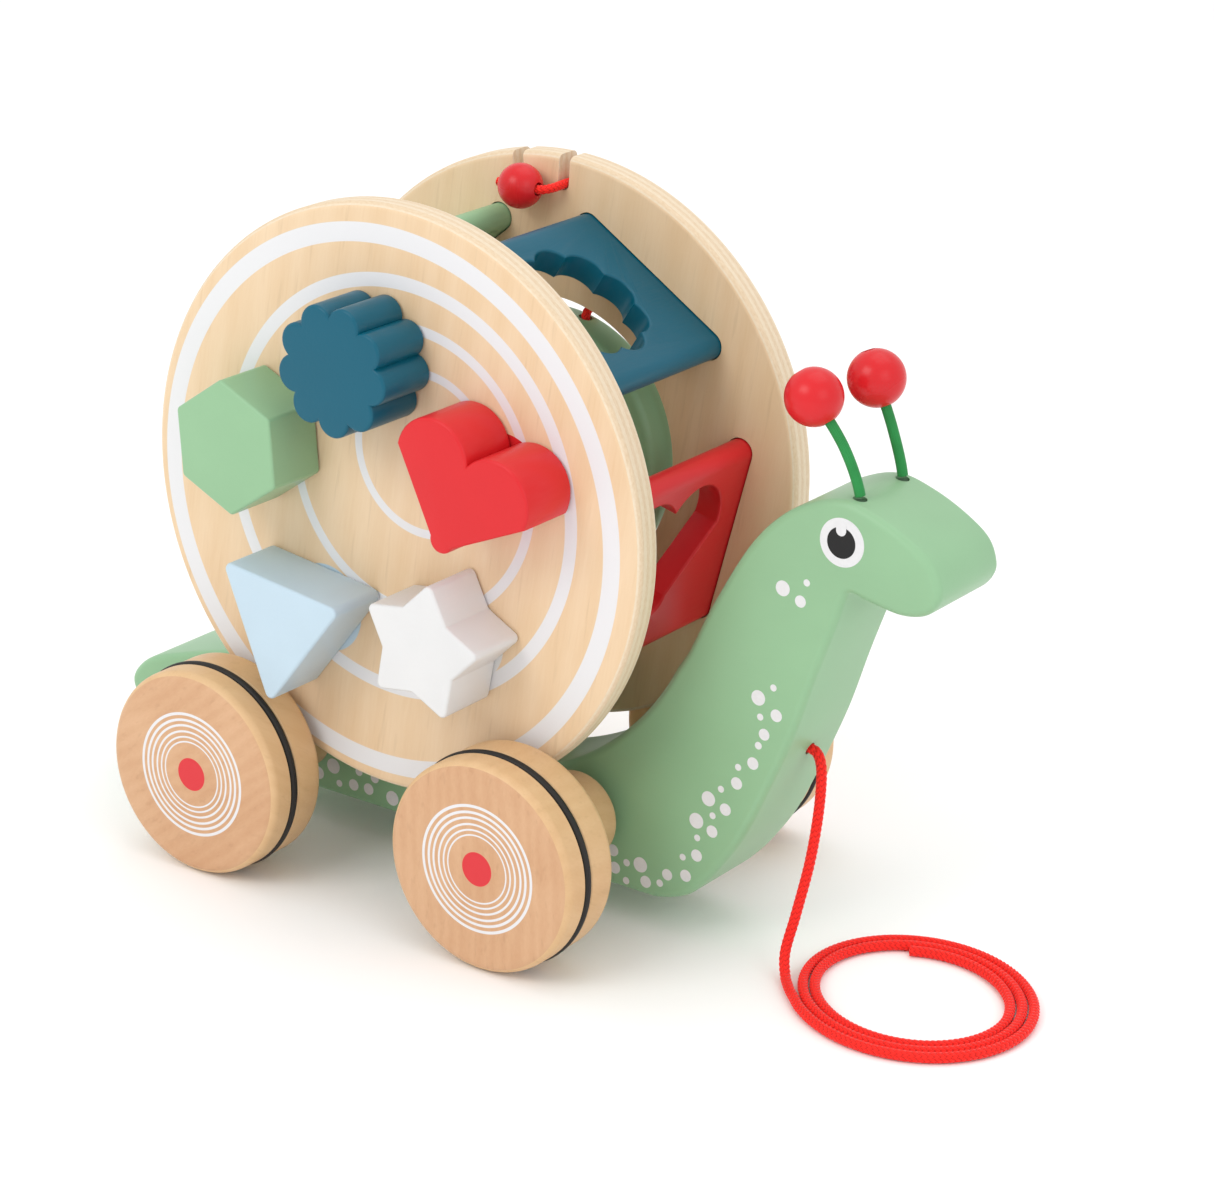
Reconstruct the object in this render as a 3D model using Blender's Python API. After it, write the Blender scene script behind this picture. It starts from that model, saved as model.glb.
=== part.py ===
"""Wooden pull-along snail with a turning shape-sorter shell.

The snail faces +X and rolls along X. The side with the five blocks faces -Y.
Places below are measured from under the shell's centre, in the toy's middle plane and
FRAME_Z above the floor, in millimetres times MM. An empty named snail then moves
everything back by FRAME_X and up by FRAME_Z, so that the world's origin is on the floor
under the middle of the toy's box.
"""
import math

import bmesh
import bpy
from mathutils import Matrix, Vector

MM = 0.001
GAP = 0.3 * MM
FRAME_X = 18.9 * MM

# Driving dimensions
WHEEL_RADIUS = 30.8 * MM
WHEEL_WIDTH = 22.4 * MM
WHEEL_FACE_Y = 68.3 * MM
WHEELBASE = 103.2 * MM
TYRE_OUTSIDE = 31.3 * MM
AXLE_Z = 29.1 * MM
FRAME_Z = TYRE_OUTSIDE - AXLE_Z
AXLE_RADIUS = 5.0 * MM
BORE_STOP = 8.0 * MM
COLLAR_END_Y = 32.6 * MM
TYRE_CORD = 2.4 * MM
TYRE_PLACE = 0.43
HUB_RADIUS = 13.1 * MM
HUB_END_Y = 19.6 * MM
HUB_EDGE = 1.6 * MM

BODY_THICKNESS = 31.8 * MM
BODY_BOTTOM = 7.5 * MM
BODY_EDGE = 2.0 * MM
VALLEY_RADIUS = 85.5 * MM
VALLEY_X = 2.5 * MM

DISC_RADIUS = 85.0 * MM
DISC_THICKNESS = 8.9 * MM
DISC_OUTER_Y = 42.6 * MM
DISC_EDGE = 2.0 * MM
DRUM_Z = 116.3 * MM
DRUM_TURN = math.radians(3.9)

PANEL_APOTHEM = 65.5 * MM
PANEL_WIDTH = 58.4 * MM
PANEL_THICKNESS = 8.0 * MM
PANEL_EDGE = 3.9 * MM
SLOT_DEPTH = 4.0 * MM

BLOCK_DEPTH = 20.0 * MM
BLOCK_RING = 42.7 * MM
BLOCK_EDGE = 1.0 * MM
HOLE_EASE = 1.5 * MM
MAGNET_RADIUS = 5.0 * MM
MAGNET_THICKNESS = 3.0 * MM

LID_OPENING = 43.2 * MM
LID_RADIUS = 40.5 * MM
LID_THICKNESS = 13.0 * MM
LID_INNER_Y = 27.7 * MM
LID_DROP = 1.4 * MM
RIM_SLOT_WIDTH = 3.8 * MM
RIM_SLOT_BOTTOM = 75.0 * MM
RIM_SLOT_ANGLE = math.radians(5.7)
LID_CORD = 2.8 * MM

ANTENNA_CORD = 3.0 * MM
ANTENNA_BEAD = 8.0 * MM
PULL_CORD = 3.1 * MM

DISC_INNER_Y = DISC_OUTER_Y - DISC_THICKNESS
COLLAR_RADIUS = math.hypot(WHEELBASE / 2, DRUM_Z - AXLE_Z) - DISC_RADIUS - GAP

GREEN = (0.359, 0.604, 0.359)
TEAL = (0.000, 0.162, 0.231)
RED = (0.807, 0.036, 0.044)
PALE_BLUE = (0.70, 0.84, 0.92)
WHITE = (0.90, 0.90, 0.90)
PLY = (0.91, 0.68, 0.43)
BEECH = (0.73, 0.45, 0.23)
RUBBER = (0.022, 0.020, 0.018)
STEEL = (0.60, 0.60, 0.61)
CORD_RED = (0.83, 0.017, 0.017)
CORD_GREEN = (0.045, 0.32, 0.13)

parts = None
cutters = None


# ---------------------------------------------------------------- helpers
def clear_scene():
    for thing in list(bpy.data.objects):
        bpy.data.objects.remove(thing, do_unlink=True)


def make_collections():
    global parts, cutters
    parts = bpy.data.collections.new("pull_along_snail")
    cutters = bpy.data.collections.new("cutters")
    bpy.context.scene.collection.children.link(parts)
    bpy.context.scene.collection.children.link(cutters)


def material(name, colour, roughness=0.45, metallic=0.0):
    found = bpy.data.materials.get(name)
    if found:
        return found
    new = bpy.data.materials.new(name)
    new.use_nodes = True
    shader = new.node_tree.nodes["Principled BSDF"]
    shader.inputs["Base Color"].default_value = (*colour, 1.0)
    shader.inputs["Roughness"].default_value = roughness
    shader.inputs["Metallic"].default_value = metallic
    return new


def add_object(name, mesh_data, skin, collection=None):
    thing = bpy.data.objects.new(name, mesh_data)
    (collection or parts).objects.link(thing)
    if skin:
        thing.data.materials.append(skin)
    return thing


def mesh_from(name, points, faces):
    data = bpy.data.meshes.new(name)
    data.from_pydata([tuple(p) for p in points], [], faces)
    work = bmesh.new()
    work.from_mesh(data)
    bmesh.ops.recalc_face_normals(work, faces=work.faces)
    work.to_mesh(data)
    work.free()
    return data


def corner_arc(before, corner, after, radius, steps):
    """Points of the round that replaces one corner of an outline."""
    a = (before - corner).normalized()
    b = (after - corner).normalized()
    half = a.angle(b) / 2
    reach = radius / math.tan(half)
    centre = corner + (a + b).normalized() * (radius / math.sin(half))
    start = corner + a * reach - centre
    end = corner + b * reach - centre
    turn = start.angle(end)
    side = 1 if start.x * end.y - start.y * end.x > 0 else -1
    rounded = []
    for i in range(steps + 1):
        angle = side * turn * i / steps
        spun = (start.x * math.cos(angle) - start.y * math.sin(angle),
                start.x * math.sin(angle) + start.y * math.cos(angle))
        rounded.append(centre + Vector(spun))
    return rounded


def rounded_outline(corners, steps=4):
    """Outline from (x, z, corner radius) triples; radius 0 keeps the corner."""
    outline = []
    for i, (x, z, radius) in enumerate(corners):
        here = Vector((x, z))
        if radius == 0:
            outline.append(here)
            continue
        before = Vector(corners[i - 1][:2])
        after = Vector(corners[(i + 1) % len(corners)][:2])
        outline += corner_arc(before, here, after, radius, steps)
    return outline


def arc(centre_x, centre_z, radius, start, end, steps):
    span = [start + (end - start) * i / steps for i in range(steps + 1)]
    return [Vector((centre_x + radius * math.cos(a), centre_z + radius * math.sin(a))) for a in span]


def smooth_curve(points, steps):
    """Catmull-Rom curve through hand-chosen points, without its first and last point."""
    curve = []
    for i in range(1, len(points) - 2):
        a, b, c, d = (Vector(p) for p in points[i - 1:i + 3])
        for k in range(steps):
            t = k / steps
            curve.append(0.5 * (2 * b + (c - a) * t + (2 * a - 5 * b + 4 * c - d) * t * t
                                + (3 * b - a - 3 * c + d) * t ** 3))
    curve.append(Vector(points[-2]))
    return curve


def signed_area(outline):
    total = 0.0
    for i, p in enumerate(outline):
        q = outline[(i + 1) % len(outline)]
        total += p.x * q.y - q.x * p.y
    return total / 2


def inset(outline, amount):
    """Move an anticlockwise outline inwards along its corner normals."""
    moved = []
    for i, p in enumerate(outline):
        a = (p - outline[i - 1]).normalized()
        b = (outline[(i + 1) % len(outline)] - p).normalized()
        normal = Vector((-(a.y + b.y), a.x + b.x)).normalized()
        stretch = max(0.5, normal.dot(Vector((-a.y, a.x))))
        moved.append(p + normal * (amount / stretch))
    return moved


def prism(name, outline, y0, y1, edge, skin, steps=2, collection=None):
    """Board with outline in XZ, faces at y0 < y1 and rounded edges."""
    if signed_area(outline) < 0:
        outline = outline[::-1]
    levels = [(y0 + edge * (1 - math.cos(a)), edge * (1 - math.sin(a)))
              for a in (math.pi / 2 * k / steps for k in range(steps + 1))] if edge else [(y0, 0)]
    levels += [(y0 + y1 - y, cut) for y, cut in reversed(levels)]
    count = len(outline)
    points = []
    for y, cut in levels:
        ring = inset(outline, cut) if cut else outline
        points += [(p.x, y, p.y) for p in ring]
    faces = [tuple(range(count))]
    for level in range(len(levels) - 1):
        base = level * count
        for i in range(count):
            j = (i + 1) % count
            faces.append((base + i, base + j, base + count + j, base + count + i))
    faces.append(tuple(range(len(points) - count, len(points)))[::-1])
    return add_object(name, mesh_from(name, points, faces), skin, collection)


def turned(name, profile, centre_x, centre_z, skin, segments=40, collection=None):
    """Solid of revolution about a Y axis from (y, radius) pairs, ends closed on the axis."""
    points = []
    faces = []
    rings = []
    for y, radius in profile:
        if radius == 0:
            rings.append([len(points)])
            points.append((centre_x, y, centre_z))
            continue
        rings.append(list(range(len(points), len(points) + segments)))
        for i in range(segments):
            angle = 2 * math.pi * i / segments
            points.append((centre_x + radius * math.cos(angle), y, centre_z + radius * math.sin(angle)))
    for first, second in zip(rings, rings[1:]):
        for i in range(segments):
            j = (i + 1) % segments
            corners = [first[i % len(first)], first[j % len(first)],
                       second[j % len(second)], second[i % len(second)]]
            unique = list(dict.fromkeys(corners))
            if len(unique) > 2:
                faces.append(tuple(unique))
    return add_object(name, mesh_from(name, points, faces), skin, collection)


def ring_profile(closed_profile, name, centre_x, centre_z, skin, segments):
    """Ring of revolution about a Y axis from a closed loop of (y, radius) pairs."""
    count = len(closed_profile)
    points = []
    faces = []
    for i in range(segments):
        angle = 2 * math.pi * i / segments
        for y, radius in closed_profile:
            points.append((centre_x + radius * math.cos(angle), y, centre_z + radius * math.sin(angle)))
    for i in range(segments):
        for k in range(count):
            a = i * count + k
            b = i * count + (k + 1) % count
            c = ((i + 1) % segments) * count + (k + 1) % count
            d = ((i + 1) % segments) * count + k
            faces.append((a, b, c, d))
    return add_object(name, mesh_from(name, points, faces), skin)


def circle_loop(centre_y, centre_r, radius, count):
    return [(centre_y + radius * math.cos(2 * math.pi * k / count),
             centre_r + radius * math.sin(2 * math.pi * k / count)) for k in range(count)]


def cylinder(name, start, end, radius, skin=None, segments=20, collection=None):
    start = Vector(start)
    end = Vector(end)
    work = bmesh.new()
    bmesh.ops.create_cone(work, cap_ends=True, segments=segments, radius1=radius, radius2=radius,
                          depth=(end - start).length)
    turn = (end - start).to_track_quat("Z", "Y").to_matrix().to_4x4()
    bmesh.ops.transform(work, matrix=Matrix.Translation((start + end) / 2) @ turn, verts=work.verts)
    data = bpy.data.meshes.new(name)
    work.to_mesh(data)
    work.free()
    return add_object(name, data, skin, collection)


def cutter(thing):
    thing.hide_render = True
    thing.display_type = "WIRE"
    return thing


def cut(target, tools):
    for tool in tools:
        modifier = target.modifiers.new("cut_" + tool.name, "BOOLEAN")
        modifier.operation = "DIFFERENCE"
        modifier.solver = "EXACT"
        modifier.object = cutter(tool)


def bead(name, centre, radius, skin, axis, bore):
    """Wooden ball with a hole along axis."""
    axis = Vector(axis).normalized()
    work = bmesh.new()
    bmesh.ops.create_uvsphere(work, u_segments=16, v_segments=10, radius=radius)
    turn = axis.to_track_quat("Z", "Y").to_matrix().to_4x4()
    bmesh.ops.transform(work, matrix=Matrix.Translation(Vector(centre)) @ turn, verts=work.verts)
    data = bpy.data.meshes.new(name)
    work.to_mesh(data)
    work.free()
    ball = add_object(name, data, skin)
    reach = axis * radius * 1.3
    hole = cylinder(name + "_bore", Vector(centre) - reach, Vector(centre) + reach, bore, None, 12, cutters)
    cut(ball, [hole])
    return ball


def cord(name, route, radius, skin):
    """Round cord along a list of points, as a bevelled curve with closed ends."""
    data = bpy.data.curves.new(name, "CURVE")
    data.dimensions = "3D"
    data.bevel_depth = radius
    data.bevel_resolution = 2
    data.use_fill_caps = True
    spline = data.splines.new("POLY")
    spline.points.add(len(route) - 1)
    for point, place in zip(spline.points, route):
        point.co = (*place, 1.0)
    return add_object(name, data, skin)


def on_drum(radius, degrees):
    """Point in the drum's plane at this radius and angle, turned with the drum."""
    angle = math.radians(degrees) + DRUM_TURN
    return Vector((radius * math.cos(angle), DRUM_Z + radius * math.sin(angle)))


# ---------------------------------------------------------------- flat shapes
def place(outline, centre, turn_degrees=0.0, grow=0.0):
    if signed_area(outline) < 0:
        outline = outline[::-1]
    if grow:
        outline = inset(outline, -grow)
    turn = math.radians(turn_degrees)
    placed = []
    for p in outline:
        x = p.x * math.cos(turn) - p.y * math.sin(turn)
        z = p.x * math.sin(turn) + p.y * math.cos(turn)
        placed.append(Vector((centre[0] + x, centre[1] + z)))
    return placed


def polygon(count, radius, corner):
    step = 2 * math.pi / count
    return rounded_outline([(radius * math.cos(i * step), radius * math.sin(i * step), corner)
                            for i in range(count)], 3)


def hexagon():
    return polygon(6, 19.6 * MM, 1.6 * MM)


def triangle():
    return polygon(3, 25.0 * MM, 2.0 * MM)


def star():
    corners = []
    for i in range(10):
        radius = (20.8 if i % 2 == 0 else 12.9) * MM
        angle = math.pi * i / 5
        corners.append((radius * math.cos(angle), radius * math.sin(angle), (1.8 if i % 2 == 0 else 0) * MM))
    return rounded_outline(corners, 3)


def flower(petals=9):
    ring = 13.4 * MM
    petal = 5.4 * MM
    valley = math.pi / petals
    reach = ring * math.sin(valley)
    open_angle = math.pi - math.acos(reach / petal) - (math.pi / 2 - valley)
    outline = []
    for i in range(petals):
        direction = 2 * math.pi * i / petals
        centre = Vector((ring * math.cos(direction), ring * math.sin(direction)))
        steps = 6
        for k in range(steps):
            angle = direction - open_angle + 2 * open_angle * k / steps
            outline.append(centre + Vector((math.cos(angle), math.sin(angle))) * petal)
    return outline


def heart():
    """Heart with its point down; the origin is midway between notch and point."""
    lobe = 11.9 * MM
    spread = 10.8 * MM
    lift = 8.9 * MM
    tip = Vector((0, -14.2 * MM))
    tip_round = 3.8 * MM
    left = Vector((-spread, lift))
    notch = lift + math.sqrt(lobe ** 2 - spread ** 2)
    tip_centre = tip + Vector((0, tip_round))
    lean = (left - tip_centre)
    tangent = math.atan2(lean.y, lean.x) + math.acos((lobe - tip_round) / lean.length)
    start = math.atan2(notch - lift, spread)
    side = arc(left.x, left.y, lobe, start, tangent, 10)
    point = arc(tip_centre.x, tip_centre.y, tip_round, tangent, 1.5 * math.pi, 2)
    half = side + point
    mirrored = [Vector((-p.x, p.y)) for p in reversed(half[1:-1])]
    return half + mirrored


# Each shape: outline, angle of its place on the drum, and its panel's angle, in degrees;
# then the block's centre (x, z), its turn in degrees, and its colour.
SHAPES = {
    "flower": (flower, 90.0, 54.0, (-4.2, 158.4), 33.0, TEAL),
    "heart": (heart, 18.0, -18.0, (37.3, 128.5), -20.2, RED),
    "star": (star, -54.0, -90.0, (26.5, 85.1), 8.5, WHITE),
    "triangle": (triangle, -126.0, -162.0, (-24.0, 80.2), -97.0, PALE_BLUE),
    "hexagon": (hexagon, 162.0, 126.0, (-42.1, 128.7), 35.5, GREEN),
}


# ---------------------------------------------------------------- body and running gear
def body_outline():
    """Side view of the snail, anticlockwise from the underside of the tail."""
    chest_and_head = smooth_curve([Vector(p) * MM for p in (
        (60.0, 7.0), (74.0, 7.5), (84.0, 10.5), (90.0, 15.5), (96.0, 22.8), (103.3, 34.0), (111.0, 51.0),
        (118.0, 68.5), (123.5, 86.0), (129.2, 102.6), (131.8, 111.0), (133.6, 113.3), (139.0, 112.2),
        (148.6, 110.8), (155.7, 112.2), (159.6, 115.9), (160.6, 120.4), (157.7, 126.8), (150.0, 132.2),
        (140.0, 136.6), (130.0, 138.8), (120.0, 136.0), (110.0, 129.6), (100.8, 119.0), (90.4, 100.6),
        (82.6, 84.0), (78.0, 76.0))], 3)
    neck_foot = math.radians(-26.4)
    rear_crest = math.radians(-128.2)
    valley = arc(VALLEY_X, DRUM_Z, VALLEY_RADIUS, neck_foot, rear_crest, 22)
    tail = smooth_curve([Vector(p) * MM for p in (
        (-50.0, 44.0), (-58.4, 47.2), (-66.0, 46.6), (-78.0, 44.4), (-90.0, 41.4), (-103.0, 37.5),
        (-114.0, 33.6), (-120.4, 28.9), (-122.8, 23.6), (-119.4, 17.4), (-110.0, 10.8), (-96.0, 7.5),
        (-84.0, 7.5))], 3)
    return chest_and_head + valley + tail


CHEST_HOLE = Vector((114.2 * MM, 0, 59.0 * MM))
CHEST_INWARD = Vector((-0.93, 0, 0.36))
ANTENNA_FOOT = Vector((132.4 * MM, 0, 138.4 * MM))
ANTENNA_SPREAD = 10.8 * MM
ANTENNA_DEPTH = 12.0 * MM


def make_body():
    half = BODY_THICKNESS / 2
    board = prism("body_board", body_outline(), -half, half, BODY_EDGE, material("green_paint", GREEN, 0.38), 2)
    tools = []
    for side, x in (("front", WHEELBASE / 2), ("rear", -WHEELBASE / 2)):
        tools.append(cylinder("bore_" + side, (x, -half * 1.2, AXLE_Z), (x, half * 1.2, AXLE_Z),
                              AXLE_RADIUS + GAP * 2, None, 24, cutters))
    outward = CHEST_HOLE - CHEST_INWARD * 8 * MM
    tools.append(cylinder("chest_hole", outward, CHEST_HOLE + CHEST_INWARD * 22 * MM,
                          PULL_CORD / 2 + GAP, None, 12, cutters))
    for side, sign in (("near", -1), ("far", 1)):
        foot = ANTENNA_FOOT + Vector((0, sign * ANTENNA_SPREAD, 0))
        tools.append(cylinder("antenna_hole_" + side, foot - Vector((0, 0, ANTENNA_DEPTH)),
                              foot + Vector((0, 0, 8 * MM)), ANTENNA_CORD / 2 + GAP, None, 12, cutters))
    cut(board, tools)


def wheel_profile(sign):
    """(y, radius) from the printed face round the tyre's groove to the back, with the axle's blind bore."""
    face = WHEEL_FACE_Y
    back = face - WHEEL_WIDTH
    groove = face - WHEEL_WIDTH * TYRE_PLACE
    radius = WHEEL_RADIUS
    floor = TYRE_OUTSIDE - TYRE_CORD - GAP
    side = TYRE_CORD / 2 + GAP
    profile = [
        (face, 0), (face, radius - 3.0 * MM), (face - 0.4 * MM, radius - 1.5 * MM),
        (face - 1.5 * MM, radius - 0.4 * MM), (face - 3.0 * MM, radius), (groove + side, radius),
        (groove + side, floor), (groove - side, floor), (groove - side, radius),
        (back + 3.0 * MM, radius), (back + 0.8 * MM, radius - 1.2 * MM), (back, radius - 3.0 * MM),
        (back, AXLE_RADIUS + GAP), (face - BORE_STOP, AXLE_RADIUS + GAP), (face - BORE_STOP, 0),
    ]
    return [(sign * y, r) for y, r in profile]


def hub_profile(sign):
    """Loop of (y, radius): the collar that carries the shell's rim, then the slimmer spacer."""
    back = WHEEL_FACE_Y - WHEEL_WIDTH - GAP
    bore = AXLE_RADIUS + GAP
    step = COLLAR_END_Y
    loop = [
        (back, bore), (back, COLLAR_RADIUS), (step + 0.6 * MM, COLLAR_RADIUS),
        (step, COLLAR_RADIUS - 0.6 * MM), (step, HUB_RADIUS), (HUB_END_Y + HUB_EDGE, HUB_RADIUS),
        (HUB_END_Y + 0.3 * HUB_EDGE, HUB_RADIUS - 0.3 * HUB_EDGE), (HUB_END_Y, HUB_RADIUS - HUB_EDGE),
        (HUB_END_Y, bore),
    ]
    return [(sign * y, r) for y, r in loop]


def make_wheel(end, side, x, sign):
    wood = material("beech", BEECH, 0.42)
    turned("wheel_%s_%s" % (end, side), wheel_profile(sign), x, AXLE_Z, wood, 36)
    ring_profile(hub_profile(sign), "hub_%s_%s" % (end, side), x, AXLE_Z, wood, 28)
    groove = sign * (WHEEL_FACE_Y - WHEEL_WIDTH * TYRE_PLACE)
    ring_profile(circle_loop(groove, TYRE_OUTSIDE - TYRE_CORD / 2, TYRE_CORD / 2, 8),
                 "tyre_%s_%s" % (end, side), x, AXLE_Z, material("black_rubber", RUBBER, 0.55), 36)


def make_running_gear():
    for end, x in (("front", WHEELBASE / 2), ("rear", -WHEELBASE / 2)):
        reach = WHEEL_FACE_Y - BORE_STOP - GAP
        cylinder("axle_" + end, (x, -reach, AXLE_Z), (x, reach, AXLE_Z), AXLE_RADIUS,
                 material("beech", BEECH, 0.42), 24)
        make_wheel(end, "near", x, -1)
        make_wheel(end, "far", x, 1)


# ---------------------------------------------------------------- shell
def panel_frame(degrees):
    angle = math.radians(degrees) + DRUM_TURN
    normal = Vector((math.cos(angle), math.sin(angle)))
    tangent = Vector((math.sin(angle), -math.cos(angle)))
    return normal, tangent


def panel_end(degrees, grow):
    """Cross-section of one panel in XZ, grown for its slot."""
    normal, tangent = panel_frame(degrees)
    centre = Vector((0, DRUM_Z)) + normal * (PANEL_APOTHEM - PANEL_THICKNESS / 2)
    half_w = PANEL_WIDTH / 2 + grow
    half_t = PANEL_THICKNESS / 2 + grow
    corners = []
    for a, b in ((-1, -1), (1, -1), (1, 1), (-1, 1)):
        p = centre + tangent * (a * half_w) + normal * (b * half_t)
        corners.append((p.x, p.y, PANEL_EDGE + grow))
    return rounded_outline(corners, 3)


def hole_cutter(name, outline, degrees):
    """Prism that cuts a shape through one panel; the shape's up is the panel's tangent."""
    normal, tangent = panel_frame(degrees)
    points = []
    count = len(outline)
    for level in (PANEL_APOTHEM - PANEL_THICKNESS * 1.6, PANEL_APOTHEM + PANEL_THICKNESS * 0.6):
        for p in outline:
            flat = Vector((0, DRUM_Z)) + normal * level - tangent * p.y
            points.append((flat.x, p.x, flat.y))
    faces = [tuple(range(count)), tuple(range(count, 2 * count))[::-1]]
    faces += [(i, (i + 1) % count, count + (i + 1) % count, count + i) for i in range(count)]
    return add_object(name, mesh_from(name, points, faces), None, cutters)


def make_panels():
    reach = DISC_INNER_Y + SLOT_DEPTH - GAP
    for name, (shape, _, degrees, _, _, colour) in SHAPES.items():
        skin = material(name + "_paint", colour, 0.35)
        panel = prism("panel_" + name, panel_end(degrees, 0), -reach, reach, 0, skin)
        turn = 0.0 if name in ("heart", "flower") else 90.0
        hole = place(shape(), (0, 0), turn, HOLE_EASE)
        cut(panel, [hole_cutter("hole_" + name, hole, degrees)])


def make_disc(name, sign, openings):
    inner = DISC_INNER_Y * sign
    outer = DISC_OUTER_Y * sign
    outline = arc(0, DRUM_Z, DISC_RADIUS, 0, 2 * math.pi, 80)[:-1]
    disc = prism(name, outline, min(inner, outer), max(inner, outer), DISC_EDGE, material("plywood", PLY, 0.5), 2)
    tools = list(openings)
    floor = inner + sign * SLOT_DEPTH
    open_end = inner - sign * 3 * MM
    for shape_name, entry in SHAPES.items():
        slot = panel_end(entry[2], GAP)
        tools.append(prism("slot_%s_%s" % (name, shape_name), slot, min(floor, open_end), max(floor, open_end),
                           0, None, collection=cutters))
    cut(disc, tools)
    return disc


def printed_dot(name):
    return on_drum(BLOCK_RING, SHAPES[name][1])


def make_discs():
    pockets = []
    for name in SHAPES:
        c = printed_dot(name)
        deep = -DISC_OUTER_Y + 3.0 * MM
        pockets.append(cylinder("pocket_" + name, (c.x, -DISC_INNER_Y + 2 * MM, c.y), (c.x, deep, c.y),
                                MAGNET_RADIUS + GAP, None, 12, cutters))
        cover = deep + GAP + MAGNET_THICKNESS
        cylinder("disc_magnet_" + name, (c.x, cover, c.y), (c.x, deep + GAP, c.y),
                 MAGNET_RADIUS, material("magnet_steel", STEEL, 0.3, 1.0), 12)
        cylinder("disc_plug_" + name, (c.x, -DISC_INNER_Y - 0.1 * MM, c.y), (c.x, cover + GAP, c.y),
                 MAGNET_RADIUS, material("beech", BEECH, 0.42), 12)
    make_disc("shell_disc_near", -1, pockets)
    reach = 8 * MM
    holes = [cylinder("lid_opening", (0, DISC_INNER_Y - reach, DRUM_Z), (0, DISC_OUTER_Y + reach, DRUM_Z),
                      LID_OPENING, None, 64, cutters)]
    for label, sign in (("left", 1), ("right", -1)):
        holes.append(rim_slot(label, sign))
    make_disc("shell_disc_far", 1, holes)


def rim_slot(label, sign):
    """Narrow slot in the far disc's rim, round at its bottom."""
    angle = math.pi / 2 + DRUM_TURN + sign * RIM_SLOT_ANGLE
    out = Vector((math.cos(angle), math.sin(angle)))
    across = Vector((-out.y, out.x)) * (RIM_SLOT_WIDTH / 2)
    centre = Vector((0, DRUM_Z))
    bottom = centre + out * (RIM_SLOT_BOTTOM + RIM_SLOT_WIDTH / 2)
    top = centre + out * (DISC_RADIUS + 5 * MM)
    outline = [top - across, top + across]
    outline += arc(bottom.x, bottom.y, RIM_SLOT_WIDTH / 2, angle + math.pi / 2, angle + 1.5 * math.pi, 8)
    return prism("rim_slot_" + label, outline, DISC_INNER_Y - 3 * MM, DISC_OUTER_Y + 3 * MM, 0, None,
                 collection=cutters)


def make_blocks():
    for name, (shape, _, _, centre, turn, colour) in SHAPES.items():
        c = Vector(centre) * MM
        back = -DISC_OUTER_Y - GAP
        outline = place(shape(), c, turn)
        block = prism("block_" + name, outline, back - BLOCK_DEPTH, back, BLOCK_EDGE,
                      material(name + "_paint", colour, 0.35), 2)
        pocket = cylinder("block_pocket_" + name, (c.x, back - MAGNET_THICKNESS - GAP, c.y),
                          (c.x, back + 2 * MM, c.y), MAGNET_RADIUS + GAP, None, 12, cutters)
        cut(block, [pocket])
        cylinder("block_magnet_" + name, (c.x, back - MAGNET_THICKNESS, c.y), (c.x, back - GAP / 3, c.y),
                 MAGNET_RADIUS, material("magnet_steel", STEEL, 0.3, 1.0), 12)


# ---------------------------------------------------------------- lid and its cord
def rim_notch():
    """Where the lid's cord crosses the rim: bottom of the right-hand slot."""
    angle = math.pi / 2 + DRUM_TURN - RIM_SLOT_ANGLE
    radius = RIM_SLOT_BOTTOM + LID_CORD / 2 + GAP
    return Vector((radius * math.cos(angle), DRUM_Z + radius * math.sin(angle)))


LID_HOLE_X = 9.5 * MM
LID_HOLE_Y = 36.3 * MM
LID_HINGE_Y = DISC_OUTER_Y + LID_CORD / 2 + 0.2 * MM


def make_lid():
    centre_z = DRUM_Z - LID_DROP
    edge = 2.0 * MM
    outer = LID_INNER_Y + LID_THICKNESS
    profile = [(LID_INNER_Y, 0), (LID_INNER_Y, LID_RADIUS - edge), (LID_INNER_Y + edge * 0.3, LID_RADIUS - edge * 0.3),
               (LID_INNER_Y + edge, LID_RADIUS), (outer - edge, LID_RADIUS),
               (outer - edge * 0.3, LID_RADIUS - edge * 0.3), (outer, LID_RADIUS - edge), (outer, 0)]
    lid = turned("lid", profile, 0, centre_z, material("green_paint", GREEN, 0.38), 56)
    top = centre_z + math.sqrt(LID_RADIUS ** 2 - LID_HOLE_X ** 2)
    middle = LID_HOLE_Y
    hole = cylinder("lid_hole", (LID_HOLE_X, middle, top + 4 * MM), (LID_HOLE_X, middle, top - 12 * MM),
                    LID_CORD / 2 + 2 * GAP, None, 12, cutters)
    cut(lid, [hole])
    notch = rim_notch()
    outside = LID_HINGE_Y
    lip = DRUM_Z + math.sqrt(LID_OPENING ** 2 - LID_HOLE_X ** 2)
    hanging = [
        (notch.x, outside - 2.0 * MM, notch.y + 3.0 * MM),
        (notch.x, outside, notch.y - LID_CORD / 2 - GAP),
        (notch.x + 0.8 * MM, outside + 0.1 * MM, notch.y - 11.0 * MM),
        (notch.x + 4.2 * MM, outside + 0.2 * MM, notch.y - 23.0 * MM),
    ]
    tucked = [
        (LID_HOLE_X - 0.4 * MM, outside + 0.2 * MM, lip + 1.8 * MM),
        (LID_HOLE_X, outside - 0.5 * MM, lip - 1.1 * MM),
        (LID_HOLE_X, outside - 3.2 * MM, lip - 1.9 * MM),
        (LID_HOLE_X, middle + 2.3 * MM, lip - 1.9 * MM),
        (LID_HOLE_X, middle + 0.6 * MM, lip - 3.0 * MM),
        (LID_HOLE_X, middle, top - 1.2 * MM),
        (LID_HOLE_X, middle, top - 10.5 * MM),
        (LID_HOLE_X, middle, top - 16.0 * MM),
    ]
    route = smooth_curve(hanging + tucked, 3)
    cord("lid_cord", route, LID_CORD / 2, material("red_cord", CORD_RED, 0.7))


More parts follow.
